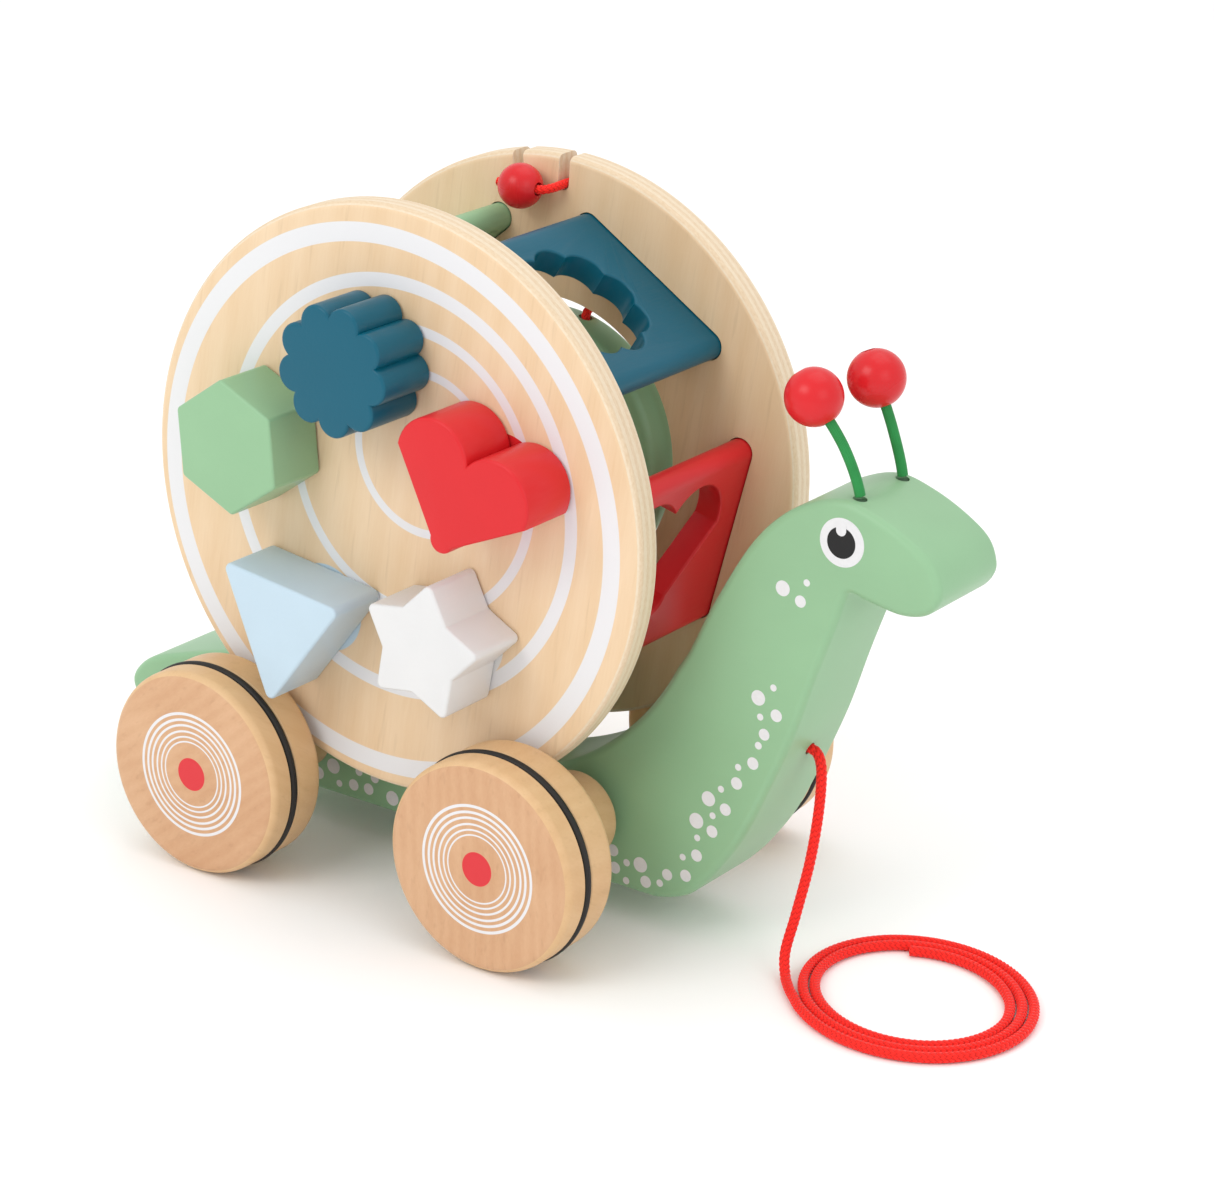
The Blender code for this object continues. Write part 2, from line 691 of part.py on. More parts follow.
def make_lid_bead():
    """Bead inside the shell that stops the lid's cord, and the cord from it through the rim's slot."""
    notch = rim_notch()
    radius = 6.6 * MM
    centre = Vector((notch.x - 10.1 * MM, DISC_INNER_Y - radius - GAP, notch.y - 0.8 * MM))
    route = smooth_curve([
        (centre.x - radius - 6.0 * MM, centre.y, centre.z),
        (centre.x - radius - 1.4 * MM, centre.y, centre.z),
        (centre.x, centre.y, centre.z),
        (centre.x + radius + 0.4 * MM, centre.y, centre.z),
        (notch.x - 0.7 * MM, DISC_INNER_Y - 4.4 * MM, notch.y - 0.4 * MM),
        (notch.x, DISC_INNER_Y - 0.2 * MM, notch.y),
        (notch.x, DISC_INNER_Y + 4.0 * MM, notch.y),
        (notch.x, LID_HINGE_Y, notch.y),
        (notch.x, LID_HINGE_Y + 4.0 * MM, notch.y),
    ], 3)
    bead("lid_cord_bead", centre, radius, material("red_paint", RED, 0.3), (1, 0, 0),
         LID_CORD / 2 + 2 * GAP)
    cord("lid_cord_end", route, LID_CORD / 2, material("red_cord", CORD_RED, 0.7))


# ---------------------------------------------------------------- antennae
ANTENNA_BEADS = {"near": Vector((117.5, -12.0, 163.9)) * MM, "far": Vector((122.9, 10.5, 164.8)) * MM}
ANTENNA_BOW = {"near": Vector((2.0, 0, 0.9)) * MM, "far": Vector((0.9, 0, 0.3)) * MM}


def make_antenna(side, sign):
    """Stiff green cord glued into the head, curving up and back into its bead."""
    skin = material("green_cord", CORD_GREEN, 0.7)
    foot = ANTENNA_FOOT + Vector((0, sign * ANTENNA_SPREAD, 0))
    mouth = foot + Vector((0, 0, 1.0 * MM))
    cylinder("antenna_root_" + side, foot - Vector((0, 0, ANTENNA_DEPTH - GAP)),
             foot - Vector((0, 0, 0.3 * MM)), ANTENNA_CORD / 2, skin, 8)
    ball = ANTENNA_BEADS[side]
    lean = foot.lerp(ball, 0.5) + ANTENNA_BOW[side]
    into = (ball - lean).normalized()
    end = ball + into * ANTENNA_BEAD * 0.55
    rim = ball - into * ANTENNA_BEAD * 1.2
    below = mouth - Vector((0, 0, 10 * MM))
    route = smooth_curve([below, mouth, lean, rim, ball, end, end + into * 4 * MM], 4)
    cord("antenna_cord_" + side, route, ANTENNA_CORD / 2, skin)
    bead("antenna_bead_" + side, ball, ANTENNA_BEAD, material("red_paint", RED, 0.3), into,
         ANTENNA_CORD / 2 + GAP)


# ---------------------------------------------------------------- pull cord
COIL_CENTRE = Vector((155.7 * MM, -8.2 * MM))
COIL_INSIDE = 25.2 * MM
COIL_OUTSIDE = 35.9 * MM
COIL_STRETCH = 1.7 * MM
COIL_LONG_AXIS = math.radians(-35.0)
COIL_FLOOR = 0.1 * MM - FRAME_Z


def coil_reach(radius, angle):
    """The coil is a little longer along one diameter than across it."""
    return radius + COIL_STRETCH * math.cos(2 * (angle - COIL_LONG_AXIS))


def make_pull_cord():
    skin = material("red_cord", CORD_RED, 0.7)
    radius = PULL_CORD / 2
    deep = CHEST_HOLE + CHEST_INWARD * 20 * MM
    route = smooth_curve([
        deep + CHEST_INWARD * 8 * MM,
        deep,
        CHEST_HOLE + CHEST_INWARD * 3 * MM,
        CHEST_HOLE - CHEST_INWARD * 3.6 * MM + Vector((0, -0.2, -0.4)) * MM,
        Vector((119.4, -1.6, 47.0)) * MM,
        Vector((119.6, -5.2, 30.0)) * MM,
        Vector((118.6, -10.0, 14.0)) * MM,
        Vector((117.4, -13.4, 2.6)) * MM,
        Vector((117.8, -17.8, -0.45)) * MM,
        Vector((119.9, -26.2, -0.45)) * MM,
    ], 2)
    cord("pull_cord", route, radius, skin)
    make_coil(skin)


def make_coil(skin):
    """One flat ring with the outside shape of the cord's two and three quarter turns."""
    edge = 1.0 * MM
    top = COIL_FLOOR + PULL_CORD
    loop = [(COIL_INSIDE + edge, COIL_FLOOR), (COIL_OUTSIDE - edge, COIL_FLOOR),
            (COIL_OUTSIDE, COIL_FLOOR + edge), (COIL_OUTSIDE, top - edge), (COIL_OUTSIDE - edge, top),
            (COIL_INSIDE + edge, top), (COIL_INSIDE, top - edge), (COIL_INSIDE, COIL_FLOOR + edge)]
    segments = 40
    count = len(loop)
    points = []
    faces = []
    for i in range(segments):
        angle = 2 * math.pi * i / segments
        for r, z in loop:
            reach = coil_reach(r, angle)
            points.append((COIL_CENTRE.x + reach * math.cos(angle), COIL_CENTRE.y + reach * math.sin(angle), z))
    for i in range(segments):
        for k in range(count):
            a = i * count + k
            b = i * count + (k + 1) % count
            c = ((i + 1) % segments) * count + (k + 1) % count
            d = ((i + 1) % segments) * count + k
            faces.append((a, b, c, d))
    return add_object("pull_cord_coil", mesh_from("pull_cord_coil", points, faces), skin)


# ---------------------------------------------------------------- pivots
def pivot(name, place, prefixes, parent):
    """Empty on a joint's axis that carries the pieces whose names start with one of the prefixes."""
    empty = bpy.data.objects.new(name, None)
    empty.empty_display_size = 0.01
    empty.location = place
    parts.objects.link(empty)
    for thing in list(parts.objects):
        if thing.type != "EMPTY" and thing.parent is None and thing.name.startswith(tuple(prefixes)):
            thing.parent = empty
            thing.matrix_parent_inverse = Matrix.Translation(Vector(place)).inverted()
    empty.parent = parent
    return empty


def make_pivots():
    root = bpy.data.objects.new("snail", None)
    parts.objects.link(root)
    half = WHEELBASE / 2
    pivot("front_axle_pivot", (half, 0, AXLE_Z),
          ["axle_front", "wheel_front", "hub_front", "tyre_front"], root)
    pivot("rear_axle_pivot", (-half, 0, AXLE_Z),
          ["axle_rear", "wheel_rear", "hub_rear", "tyre_rear"], root)
    notch = rim_notch()
    shell = pivot("shell_pivot", (0, 0, DRUM_Z),
                  ["shell_disc", "panel", "disc_magnet", "disc_plug", "lid_cord_bead", "lid_cord_end"], root)
    for name, entry in SHAPES.items():
        x, z = entry[3]
        pivot("block_pivot_" + name, (x * MM, -DISC_OUTER_Y, z * MM),
              ["block_" + name, "block_magnet_" + name], None)
    pivot("lid_pivot", (notch.x, LID_HINGE_Y, notch.y), ["lid"], None)
    for side, sign in (("near", -1), ("far", 1)):
        foot = ANTENNA_FOOT + Vector((0, sign * ANTENNA_SPREAD, 1.0 * MM))
        pivot("antenna_pivot_" + side, foot, ["antenna_cord_" + side, "antenna_bead_" + side], root)
    for empty in [e for e in parts.objects if e.type == "EMPTY" and e.parent is None and e != root]:
        empty.parent = shell
        empty.matrix_parent_inverse = Matrix.Translation(shell.location).inverted()
    for thing in list(parts.objects) + list(cutters.objects):
        if thing.parent is None and thing != root:
            thing.parent = root
    root.location = (-FRAME_X, 0, FRAME_Z)


def main():
    clear_scene()
    make_collections()
    make_body()
    make_running_gear()
    make_panels()
    make_discs()
    make_blocks()
    make_lid()
    make_lid_bead()
    make_antenna("near", -1)
    make_antenna("far", 1)
    make_pull_cord()
    make_pivots()


main()
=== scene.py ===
"""Looks of the wooden pull-along snail: smooth pieces, paint, print, wood grain and knitted cord.

Places are measured as in the CAD source, in millimetres times MM, from under the shell's
centre and with the axles at AXLE_Z. ORIGIN moves them into the frame, and comes from it.
"""
from math import acos, atan2, cos, floor, pi, radians, sin, sqrt, tan

import bmesh
import bpy
import numpy as np
from mathutils import Matrix, Vector


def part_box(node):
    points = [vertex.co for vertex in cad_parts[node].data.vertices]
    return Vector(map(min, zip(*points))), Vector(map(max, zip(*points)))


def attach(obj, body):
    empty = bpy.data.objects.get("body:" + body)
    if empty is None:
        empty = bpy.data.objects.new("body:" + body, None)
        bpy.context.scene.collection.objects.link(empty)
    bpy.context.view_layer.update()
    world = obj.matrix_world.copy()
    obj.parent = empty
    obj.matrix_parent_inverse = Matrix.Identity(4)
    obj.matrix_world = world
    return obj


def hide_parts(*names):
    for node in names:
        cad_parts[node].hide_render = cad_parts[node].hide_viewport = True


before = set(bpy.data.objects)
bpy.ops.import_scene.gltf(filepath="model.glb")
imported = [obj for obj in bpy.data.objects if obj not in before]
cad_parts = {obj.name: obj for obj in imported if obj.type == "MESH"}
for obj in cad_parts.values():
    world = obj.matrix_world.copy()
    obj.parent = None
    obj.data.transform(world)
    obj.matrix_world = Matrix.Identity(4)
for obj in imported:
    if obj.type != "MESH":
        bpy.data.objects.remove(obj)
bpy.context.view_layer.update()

MM = 0.001
SHAPE_NAMES = ("flower", "heart", "star", "triangle", "hexagon")


def span(node):
    low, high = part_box(node)
    return Vector(low), Vector(high)


def add_object(name, data):
    """Object in the scene that holds this mesh, light or camera."""
    new = bpy.data.objects.new(name, data)
    bpy.context.scene.collection.objects.link(new)
    return new


def hand_over(piece, body, slot, *nodes):
    """The piece rides on a body and stands for CAD nodes, which are hidden. The slot argument is not used."""
    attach(piece, body)
    if nodes:
        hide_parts(*nodes)


def repaint(node, material):
    """Give a CAD piece whose shape is already right a better material."""
    data = bpy.data.objects[node].data
    data.materials.clear()
    data.materials.append(material)


DISC_LOW, DISC_HIGH = span("shell_disc_near")
AXLE_LOW, AXLE_HIGH = span("axle_front")
AXLE_Z = 29.1 * MM
ORIGIN = Vector(((DISC_LOW.x + DISC_HIGH.x) / 2, 0, (AXLE_LOW.z + AXLE_HIGH.z) / 2 - AXLE_Z))
DRUM_Z = (DISC_LOW.z + DISC_HIGH.z) / 2 - ORIGIN.z
DISC_RADIUS = (DISC_HIGH.z - DISC_LOW.z) / 2
DISC_OUTER_Y = -DISC_LOW.y
DISC_INNER_Y = -DISC_HIGH.y
DISC_THICKNESS = DISC_OUTER_Y - DISC_INNER_Y
DRUM_TURN = radians(3.9)
DISC_EDGE = 2.0 * MM
PLY_LAYERS = 7

PANEL_APOTHEM = 65.5 * MM
PANEL_WIDTH = 58.4 * MM
PANEL_THICKNESS = 8.0 * MM
PANEL_EDGE = 3.9 * MM
SLOT_DEPTH = 4.0 * MM
SLOT_EASE = 0.35 * MM
BLOCK_RING = 42.7 * MM
BLOCK_EDGE = 0.9 * MM
BLOCK_SPOT = 13.0 * MM
POCKET_RADIUS = 5.3 * MM
POCKET_DEPTH = 3.3 * MM
HOLE_EASE = 1.5 * MM
HOLE_RIM = 0.7 * MM

BODY_HALF = span("body_board")[1].y
BODY_EDGE = 2.4 * MM
VALLEY_RADIUS = 85.5 * MM
VALLEY_X = 2.5 * MM

PULL_CORD = 3.1 * MM
LID_CORD = 2.8 * MM
ANTENNA_CORD = 3.0 * MM


def srgb(red, green, blue, level=0.84):
    """Linear colour for a shader's socket, a little under how it looks in bright studio light."""
    def linear(v):
        v /= 255.0
        return level * (v / 12.92 if v <= 0.04045 else ((v + 0.055) / 1.055) ** 2.4)
    return (linear(red), linear(green), linear(blue), 1.0)


GREEN = srgb(154, 198, 155)
TEAL = srgb(0, 96, 120)
RED = srgb(228, 38, 44)
PALE_BLUE = srgb(202, 224, 238)
WHITE = srgb(236, 236, 236)
PRINT_WHITE = srgb(240, 240, 242)
PLY_LIGHT = srgb(250, 224, 190)
PLY_DARK = srgb(232, 194, 146)
BEECH_LIGHT = srgb(238, 200, 152)
BEECH_DARK = srgb(214, 168, 118)
FACE_LIGHT = srgb(230, 186, 146)
FACE_DARK = srgb(202, 148, 106)
RUBBER = srgb(40, 38, 36)
BLACK = srgb(28, 28, 30)
CORD_RED = srgb(250, 34, 22, 1.0)
CORD_GREEN = srgb(46, 158, 80)
# Painted shade for the knit's grooves: the yarn colour is multiplied by this where the stitch relief is low.
YARN_GROOVE_SHADE = (0.5, 0.3, 0.3)
WHEEL_RED = srgb(228, 52, 60)
PAINTS = {"flower": TEAL, "heart": RED, "star": WHITE, "triangle": PALE_BLUE, "hexagon": GREEN}


# ---- camera, light and floor
CAMERA_PLACE = Vector((588.0, -782.6, 447.4)) * MM
CAMERA_AZIMUTH = radians(34.76)
CAMERA_ELEVATION = radians(20.61)
CAMERA_ROLL = radians(1.59)
CAMERA_LENS = 106.85


def make_camera():
    a, e = CAMERA_AZIMUTH, CAMERA_ELEVATION
    back = Vector((sin(a) * cos(e), -cos(a) * cos(e), sin(e)))
    level = Vector((cos(a), sin(a), 0))
    up = back.cross(level)
    right = level * cos(CAMERA_ROLL) + up * sin(CAMERA_ROLL)
    up = back.cross(right)
    data = bpy.data.cameras.new("camera")
    data.lens = CAMERA_LENS
    data.sensor_width = 36.0
    data.clip_start = 0.01
    camera = add_object("camera", data)
    turn = Matrix((right, up, back)).transposed().to_4x4()
    camera.matrix_world = Matrix.Translation(CAMERA_PLACE + ORIGIN) @ turn
    bpy.context.scene.camera = camera


def area_light(name, place, target, size, power, colour=(1, 1, 1)):
    data = bpy.data.lights.new(name, "AREA")
    data.shape = "RECTANGLE"
    data.size, data.size_y = size
    data.energy = power
    data.color = colour
    lamp = add_object(name, data)
    lamp.location = place
    direction = Vector(target) - Vector(place)
    lamp.rotation_euler = direction.to_track_quat("-Z", "Y").to_euler()


def make_light():
    aim = (0.0, 0.0, 0.08)
    area_light("key", (-0.35, -1.25, 1.15), aim, (0.9, 0.7), 7.0, (1.0, 0.985, 0.96))
    area_light("fill", (1.3, -0.5, 0.75), aim, (0.8, 0.8), 2.0, (0.97, 0.985, 1.0))
    area_light("top", (0.1, 0.35, 1.5), aim, (1.2, 1.2), 4.0)
    world = bpy.data.worlds.new("studio")
    world.use_nodes = True
    background = world.node_tree.nodes["Background"]
    background.inputs["Color"].default_value = (1, 1, 1, 1)
    background.inputs["Strength"].default_value = 0.95
    bpy.context.scene.world = world
    settings = bpy.context.scene.view_settings
    settings.view_transform = "Standard"
    settings.look = "None"
    settings.exposure = 0.0


def make_floor():
    data = bpy.data.meshes.new("studio_floor")
    reach = 6.0
    corners = [(-reach, -reach, 0), (reach, -reach, 0), (reach, reach, 0), (-reach, reach, 0)]
    data.from_pydata(corners, [], [(0, 1, 2, 3)])
    paint = Paint("studio_floor")
    data.materials.append(paint.finish((0.98, 0.98, 0.98, 1), 0.8, specular=0.1))
    add_object("studio_floor", data)


# ---- material building blocks
class Paint:
    """A Principled material and short calls that add nodes to it."""

    def __init__(self, name):
        self.material = bpy.data.materials.new(name)
        self.material.use_nodes = True
        self.tree = self.material.node_tree
        self.shader = self.tree.nodes["Principled BSDF"]
        self._place = None

    def node(self, kind, inputs=None, **settings):
        new = self.tree.nodes.new(kind)
        for key, value in settings.items():
            setattr(new, key, value)
        for key, value in (inputs or {}).items():
            self.feed(new.inputs[key], value)
        return new

    def link(self, source, target):
        self.tree.links.new(source, target)

    def feed(self, socket, value):
        if isinstance(value, bpy.types.NodeSocket):
            self.link(value, socket)
        else:
            socket.default_value = value

    def place(self):
        """Object coordinates, which are the frame's metres at rest and move with the piece."""
        if self._place is None:
            self._place = self.node("ShaderNodeTexCoord").outputs["Object"]
        return self._place

    def math(self, operation, a, b=0.0, c=0.0, clamp=False):
        inputs = {0: a, 1: b, 2: c}
        return self.node("ShaderNodeMath", inputs, operation=operation, use_clamp=clamp).outputs[0]

    def mapped(self, scale, turn=(0, 0, 0), move=(0, 0, 0), source=None):
        inputs = {"Vector": source or self.place(), "Location": move, "Rotation": turn, "Scale": scale}
        return self.node("ShaderNodeMapping", inputs).outputs[0]

    def noise(self, vector, scale, detail=3.0, roughness=0.55):
        inputs = {"Vector": vector, "Scale": scale, "Detail": detail, "Roughness": roughness}
        return self.node("ShaderNodeTexNoise", inputs).outputs["Fac"]

    def ramp(self, factor, stops):
        new = self.node("ShaderNodeValToRGB")
        self.link(factor, new.inputs["Fac"])
        points = new.color_ramp.elements
        while len(points) < len(stops):
            points.new(0.5)
        for point, (position, colour) in zip(points, stops):
            point.position = position
            point.color = colour if len(colour) == 4 else (*colour, 1)
        return new.outputs["Color"]

    def mix(self, factor, a, b, blend="MIX"):
        inputs = {"Factor": factor, "A": a, "B": b}
        return self.node("ShaderNodeMix", inputs, data_type="RGBA", blend_type=blend).outputs["Result"]

    def spread(self, factor, low, high):
        """Value from low to high as the factor goes from 0 to 1."""
        inputs = {"Value": factor, "From Min": 0.0, "From Max": 1.0, "To Min": low, "To Max": high}
        return self.node("ShaderNodeMapRange", inputs).outputs["Result"]

    def split(self):
        return self.node("ShaderNodeSeparateXYZ", {0: self.place()}).outputs

    def radius_from(self, x, z):
        """Distance in XZ from a place measured from ORIGIN."""
        axes = self.split()
        dx = self.math("SUBTRACT", axes["X"], ORIGIN.x + x)
        dz = self.math("SUBTRACT", axes["Z"], ORIGIN.z + z)
        return self.math("SQRT", self.math("MULTIPLY_ADD", dx, dx, self.math("MULTIPLY", dz, dz)))

    def inside(self, distance, limit, soft=0.00006):
        """1 where the distance is under the limit, 0 outside, with a soft rim."""
        edge = self.math("SUBTRACT", limit, distance)
        return self.math("MULTIPLY_ADD", edge, 0.5 / soft, 0.5, clamp=True)

    def bump(self, height, strength, distance, below=None):
        inputs = {"Strength": strength, "Distance": distance, "Height": height}
        if below is not None:
            inputs["Normal"] = below
        return self.node("ShaderNodeBump", inputs).outputs["Normal"]

    def finish(self, colour, roughness, normal=None, coat=0.0, coat_roughness=0.3, specular=0.3):
        self.feed(self.shader.inputs["Base Color"], colour)
        self.feed(self.shader.inputs["Roughness"], roughness)
        if normal is not None:
            self.link(normal, self.shader.inputs["Normal"])
        self.shader.inputs["Coat Weight"].default_value = coat
        self.shader.inputs["Coat Roughness"].default_value = coat_roughness
        self.shader.inputs["Specular IOR Level"].default_value = specular
        return self.material


def shade(colour, factor):
    return (*(channel * factor for channel in colour[:3]), 1.0)


def painted_wood(name, colour, grain=(1, 0, 0), roughness=0.36, depth=0.5):
    """Sprayed satin paint on sanded wood: the grain just shows through as fine ridges."""
    paint = Paint(name)
    stretch = tuple(0.12 if g else 1.0 for g in grain)
    cloud = paint.noise(paint.place(), 38.0, 2.0)
    streaks = paint.noise(paint.mapped(stretch), 900.0, 3.0, 0.6)
    speck = paint.noise(paint.place(), 2600.0, 2.0, 0.7)
    tone = paint.ramp(cloud, [(0.25, shade(colour, 0.965)), (0.75, shade(colour, 1.03))])
    tone = paint.mix(paint.math("MULTIPLY", streaks, 0.10), tone, shade(colour, 0.86))
    normal = paint.bump(streaks, depth, 0.00006)
    normal = paint.bump(speck, 0.25, 0.00003, normal)
    gloss = paint.spread(cloud, roughness - 0.04, roughness + 0.06)
    return paint.finish(tone, gloss, normal, coat=0.04, coat_roughness=0.25, specular=0.28)


def wood_colour(paint, light, dark, turn, scale=1.0, seed=0.0, contrast=1.0):
    """Growth rings as soft bands, fibres along them and short darker flecks. Returns colour and height."""
    base = paint.mapped((1, 1, 1), turn, (seed, seed * 0.7, seed * 1.3))
    along = paint.mapped((0.07, 1.0, 1.0), source=base)
    warp = paint.noise(base, 26.0 * scale, 2.0)
    wave = {"Vector": along, "Scale": 48.0 * scale, "Distortion": 6.0, "Detail": 2.0, "Detail Scale": 1.2}
    bands = paint.node("ShaderNodeTexWave", wave, wave_type="BANDS", bands_direction="Z", wave_profile="SIN")
    fibres = paint.noise(along, 1500.0, 4.0, 0.65)
    flecks = paint.noise(along, 620.0, 2.0, 0.5)
    rings = paint.math("MULTIPLY", bands.outputs["Fac"], 0.12 * contrast)
    rings = paint.math("ADD", rings, paint.math("MULTIPLY", warp, 0.50))
    rings = paint.math("ADD", rings, paint.math("MULTIPLY", fibres, 0.34 * contrast))
    tone = paint.ramp(rings, [(0.22, light), (0.82, dark)])
    sharp = paint.ramp(flecks, [(0.60, (0, 0, 0, 1)), (0.72, (1, 1, 1, 1))])
    tone = paint.mix(paint.math("MULTIPLY", sharp, 0.22 * contrast), tone, shade(dark, 0.72))
    return tone, fibres


def lacquered_beech(name, turn=(0, 0, 0), seed=0.0, tint=1.0, contrast=1.0):
    paint = Paint(name)
    light, dark = shade(BEECH_LIGHT, tint), shade(BEECH_DARK, tint)
    tone, fibres = wood_colour(paint, light, dark, turn, 1.3, seed, contrast)
    normal = paint.bump(fibres, 0.35, 0.00005)
    return paint.finish(tone, paint.spread(fibres, 0.40, 0.55), normal, coat=0.12, coat_roughness=0.3)


WHEEL_RINGS = (0.54, 0.62, 0.71, 0.81, 0.90, 1.0)
WHEEL_RING_OUTSIDE = 18.4 * MM
WHEEL_DOT = 5.0 * MM
WHEEL_BORE = 5.3 * MM


def printed_wheel_face(name, x, z, turn, seed):
    """Turned face with its printed rings and red centre."""
    paint = Paint(name)
    tone, fibres = wood_colour(paint, FACE_LIGHT, FACE_DARK, turn, 1.5, seed, 0.75)
    distance = paint.radius_from(x, z)
    for i, ratio in enumerate(WHEEL_RINGS):
        half = (0.23 + 0.04 * i) * MM
        offset = paint.math("ABSOLUTE", paint.math("SUBTRACT", distance, WHEEL_RING_OUTSIDE * ratio))
        tone = paint.mix(paint.inside(offset, half), tone, PRINT_WHITE)
    tone = paint.mix(paint.inside(distance, WHEEL_DOT), tone, WHEEL_RED)
    normal = paint.bump(fibres, 0.35, 0.00005)
    return paint.finish(tone, paint.spread(fibres, 0.42, 0.56), normal, coat=0.1, coat_roughness=0.3)


# Centre (x, z) from the drum's centre, radius and width of the printed snail-shell lines.
SHELL_LINES = (
    (-1.75, -1.0, 77.4, 5.5),
    (3.0, 4.9, 59.2, 4.0),
    (7.7, 11.0, 41.0, 3.0),
    (12.2, 17.0, 23.0, 2.5),
)


def plywood(name, printed):
    """Birch plywood face: pale veneer, with the print on the outer face when printed is set."""
    paint = Paint(name)
    tone, fibres = wood_colour(paint, PLY_LIGHT, PLY_DARK, (0, radians(82), 0), 0.6, 0.31, 0.8)
    if printed:
        for x, z, radius, width in SHELL_LINES:
            distance = paint.radius_from(x * MM, DRUM_Z + z * MM)
            offset = paint.math("ABSOLUTE", paint.math("SUBTRACT", distance, radius * MM))
            tone = paint.mix(paint.inside(offset, width * MM / 2, 0.00008), tone, PRINT_WHITE)
        for shape in SHAPE_NAMES:
            spot = on_drum(BLOCK_RING, SHAPES[shape][1])
            distance = paint.radius_from(spot.x, spot.y)
            tone = paint.mix(paint.inside(distance, BLOCK_SPOT), tone, PAINTS[shape])
    normal = paint.bump(fibres, 0.3, 0.00004)
    return paint.finish(tone, paint.spread(fibres, 0.45, 0.58), normal, coat=0.08, coat_roughness=0.35)


def plywood_rim(name):
    """Cut edge of the board: end-grain layers alternate between light and brown along Y."""
    paint = Paint(name)
    axes = paint.split()
    layer = DISC_THICKNESS / PLY_LAYERS
    wobble = paint.noise(paint.place(), 60.0, 2.0)
    height = paint.math("MULTIPLY_ADD", wobble, 0.25 * MM, axes["Y"])
    wave = paint.math("SINE", paint.math("MULTIPLY", height, pi / layer))
    step = paint.math("MULTIPLY_ADD", wave, 2.2, 0.5, clamp=True)
    pores = paint.noise(paint.mapped((0.35, 1.0, 0.35)), 2400.0, 3.0, 0.6)
    light = paint.ramp(pores, [(0.3, srgb(246, 229, 204)), (0.75, srgb(238, 216, 184))])
    dark = paint.ramp(pores, [(0.3, srgb(241, 220, 190)), (0.75, srgb(229, 201, 164))])
    tone = paint.mix(step, dark, light)
    normal = paint.bump(pores, 0.4, 0.00006)
    return paint.finish(tone, paint.spread(pores, 0.5, 0.66), normal, coat=0.04)


def rubber():
    paint = Paint("black_rubber")
    grain = paint.noise(paint.place(), 3200.0, 3.0, 0.7)
    tone = paint.ramp(grain, [(0.3, shade(RUBBER, 0.7)), (0.8, shade(RUBBER, 1.5))])
    return paint.finish(tone, paint.spread(grain, 0.42, 0.6), paint.bump(grain, 0.4, 0.00006))


def print_ink(name, colour):
    paint = Paint(name)
    cover = paint.noise(paint.place(), 900.0, 3.0, 0.6)
    tone = paint.ramp(cover, [(0.3, shade(colour, 0.95)), (0.7, colour)])
    return paint.finish(tone, paint.spread(cover, 0.4, 0.5), paint.bump(cover, 0.2, 0.00003))


def yarn(name, colour, pitch):
    """Knitted polyester: fine filaments across each stitch, with a soft sheen, and painted shade in the
    grooves between stitches.
    """
    paint = Paint(name)
    fuzz = paint.noise(paint.place(), 2.4 / pitch, 3.0, 0.65)
    fine = paint.noise(paint.place(), 9000.0, 2.0, 0.7)
    tone = paint.ramp(fuzz, [(0.25, shade(colour, 0.88)), (0.7, shade(colour, 1.08))])
    # Painted shade: the stored relief darkens the grooves between stitches, standing in for the shade that
    # falls there.
    raised = paint.node("ShaderNodeAttribute", attribute_name="raised")
    groove_shade = paint.ramp(raised.outputs["Fac"], [(0.08, YARN_GROOVE_SHADE), (0.5, (1, 1, 1))])
    tone = paint.mix(1.0, tone, groove_shade, "MULTIPLY")
    normal = paint.bump(fine, 0.5, 0.00005)
    paint.shader.inputs["Sheen Weight"].default_value = 0.25
    paint.shader.inputs["Sheen Roughness"].default_value = 0.4
    return paint.finish(tone, paint.spread(fine, 0.55, 0.75), normal)


def plated_steel():
    paint = Paint("magnet_steel")
    brushed = paint.noise(paint.place(), 1800.0, 3.0, 0.6)
    tone = paint.ramp(brushed, [(0.3, (0.50, 0.50, 0.52, 1)), (0.7, (0.66, 0.66, 0.68, 1))])
    paint.shader.inputs["Metallic"].default_value = 1.0
    return paint.finish(tone, paint.spread(brushed, 0.22, 0.36), paint.bump(brushed, 0.2, 0.00003))


# ---- mesh building blocks
def from_work(name, work, materials=()):
    """Object whose mesh is what a bmesh holds."""
    data = bpy.data.meshes.new(name)
    work.to_mesh(data)
    work.free()
    for material in materials:
        data.materials.append(material)
    return add_object(name, data)


def mesh_piece(name, points, faces, materials, smooth=True):
    work = bmesh.new()
    corners = [work.verts.new(p) for p in points]
    for face in faces:
        work.faces.new([corners[i] for i in face])
    bmesh.ops.recalc_face_normals(work, faces=work.faces)
    piece = from_work(name, work, materials)
    if smooth:
        piece.data.shade_smooth()
    return piece


def side_faces(rings, count, base=0):
    """Quads between neighbouring rings of points, each with this count of points."""
    return [(start + i, start + (i + 1) % count, start + count + (i + 1) % count, start + count + i)
            for start in range(base, base + (rings - 1) * count, count) for i in range(count)]


def sharpen(piece, degrees=32.0):
    """Flat faces stay flat: edges over this angle are sharp."""
    work = bmesh.new()
    work.from_mesh(piece.data)
    limit = radians(degrees)
    for edge in work.edges:
        edge.smooth = len(edge.link_faces) == 2 and edge.calc_face_angle(pi) < limit
    for face in work.faces:
        face.smooth = True
    work.to_mesh(piece.data)
    work.free()
    return piece


def signed_area(outline):
    return sum(p.cross(q) for p, q in zip(outline, outline[1:] + outline[:1])) / 2


def inset(outline, amount):
    """Move an anticlockwise outline inwards along its corner normals."""
    moved = []
    for i, p in enumerate(outline):
        a = (p - outline[i - 1]).normalized()
        b = (outline[(i + 1) % len(outline)] - p).normalized()
        normal = Vector((-(a.y + b.y), a.x + b.x)).normalized()
        stretch = max(0.5, normal.dot(Vector((-a.y, a.x))))
        moved.append(p + normal * (amount / stretch))
    return moved


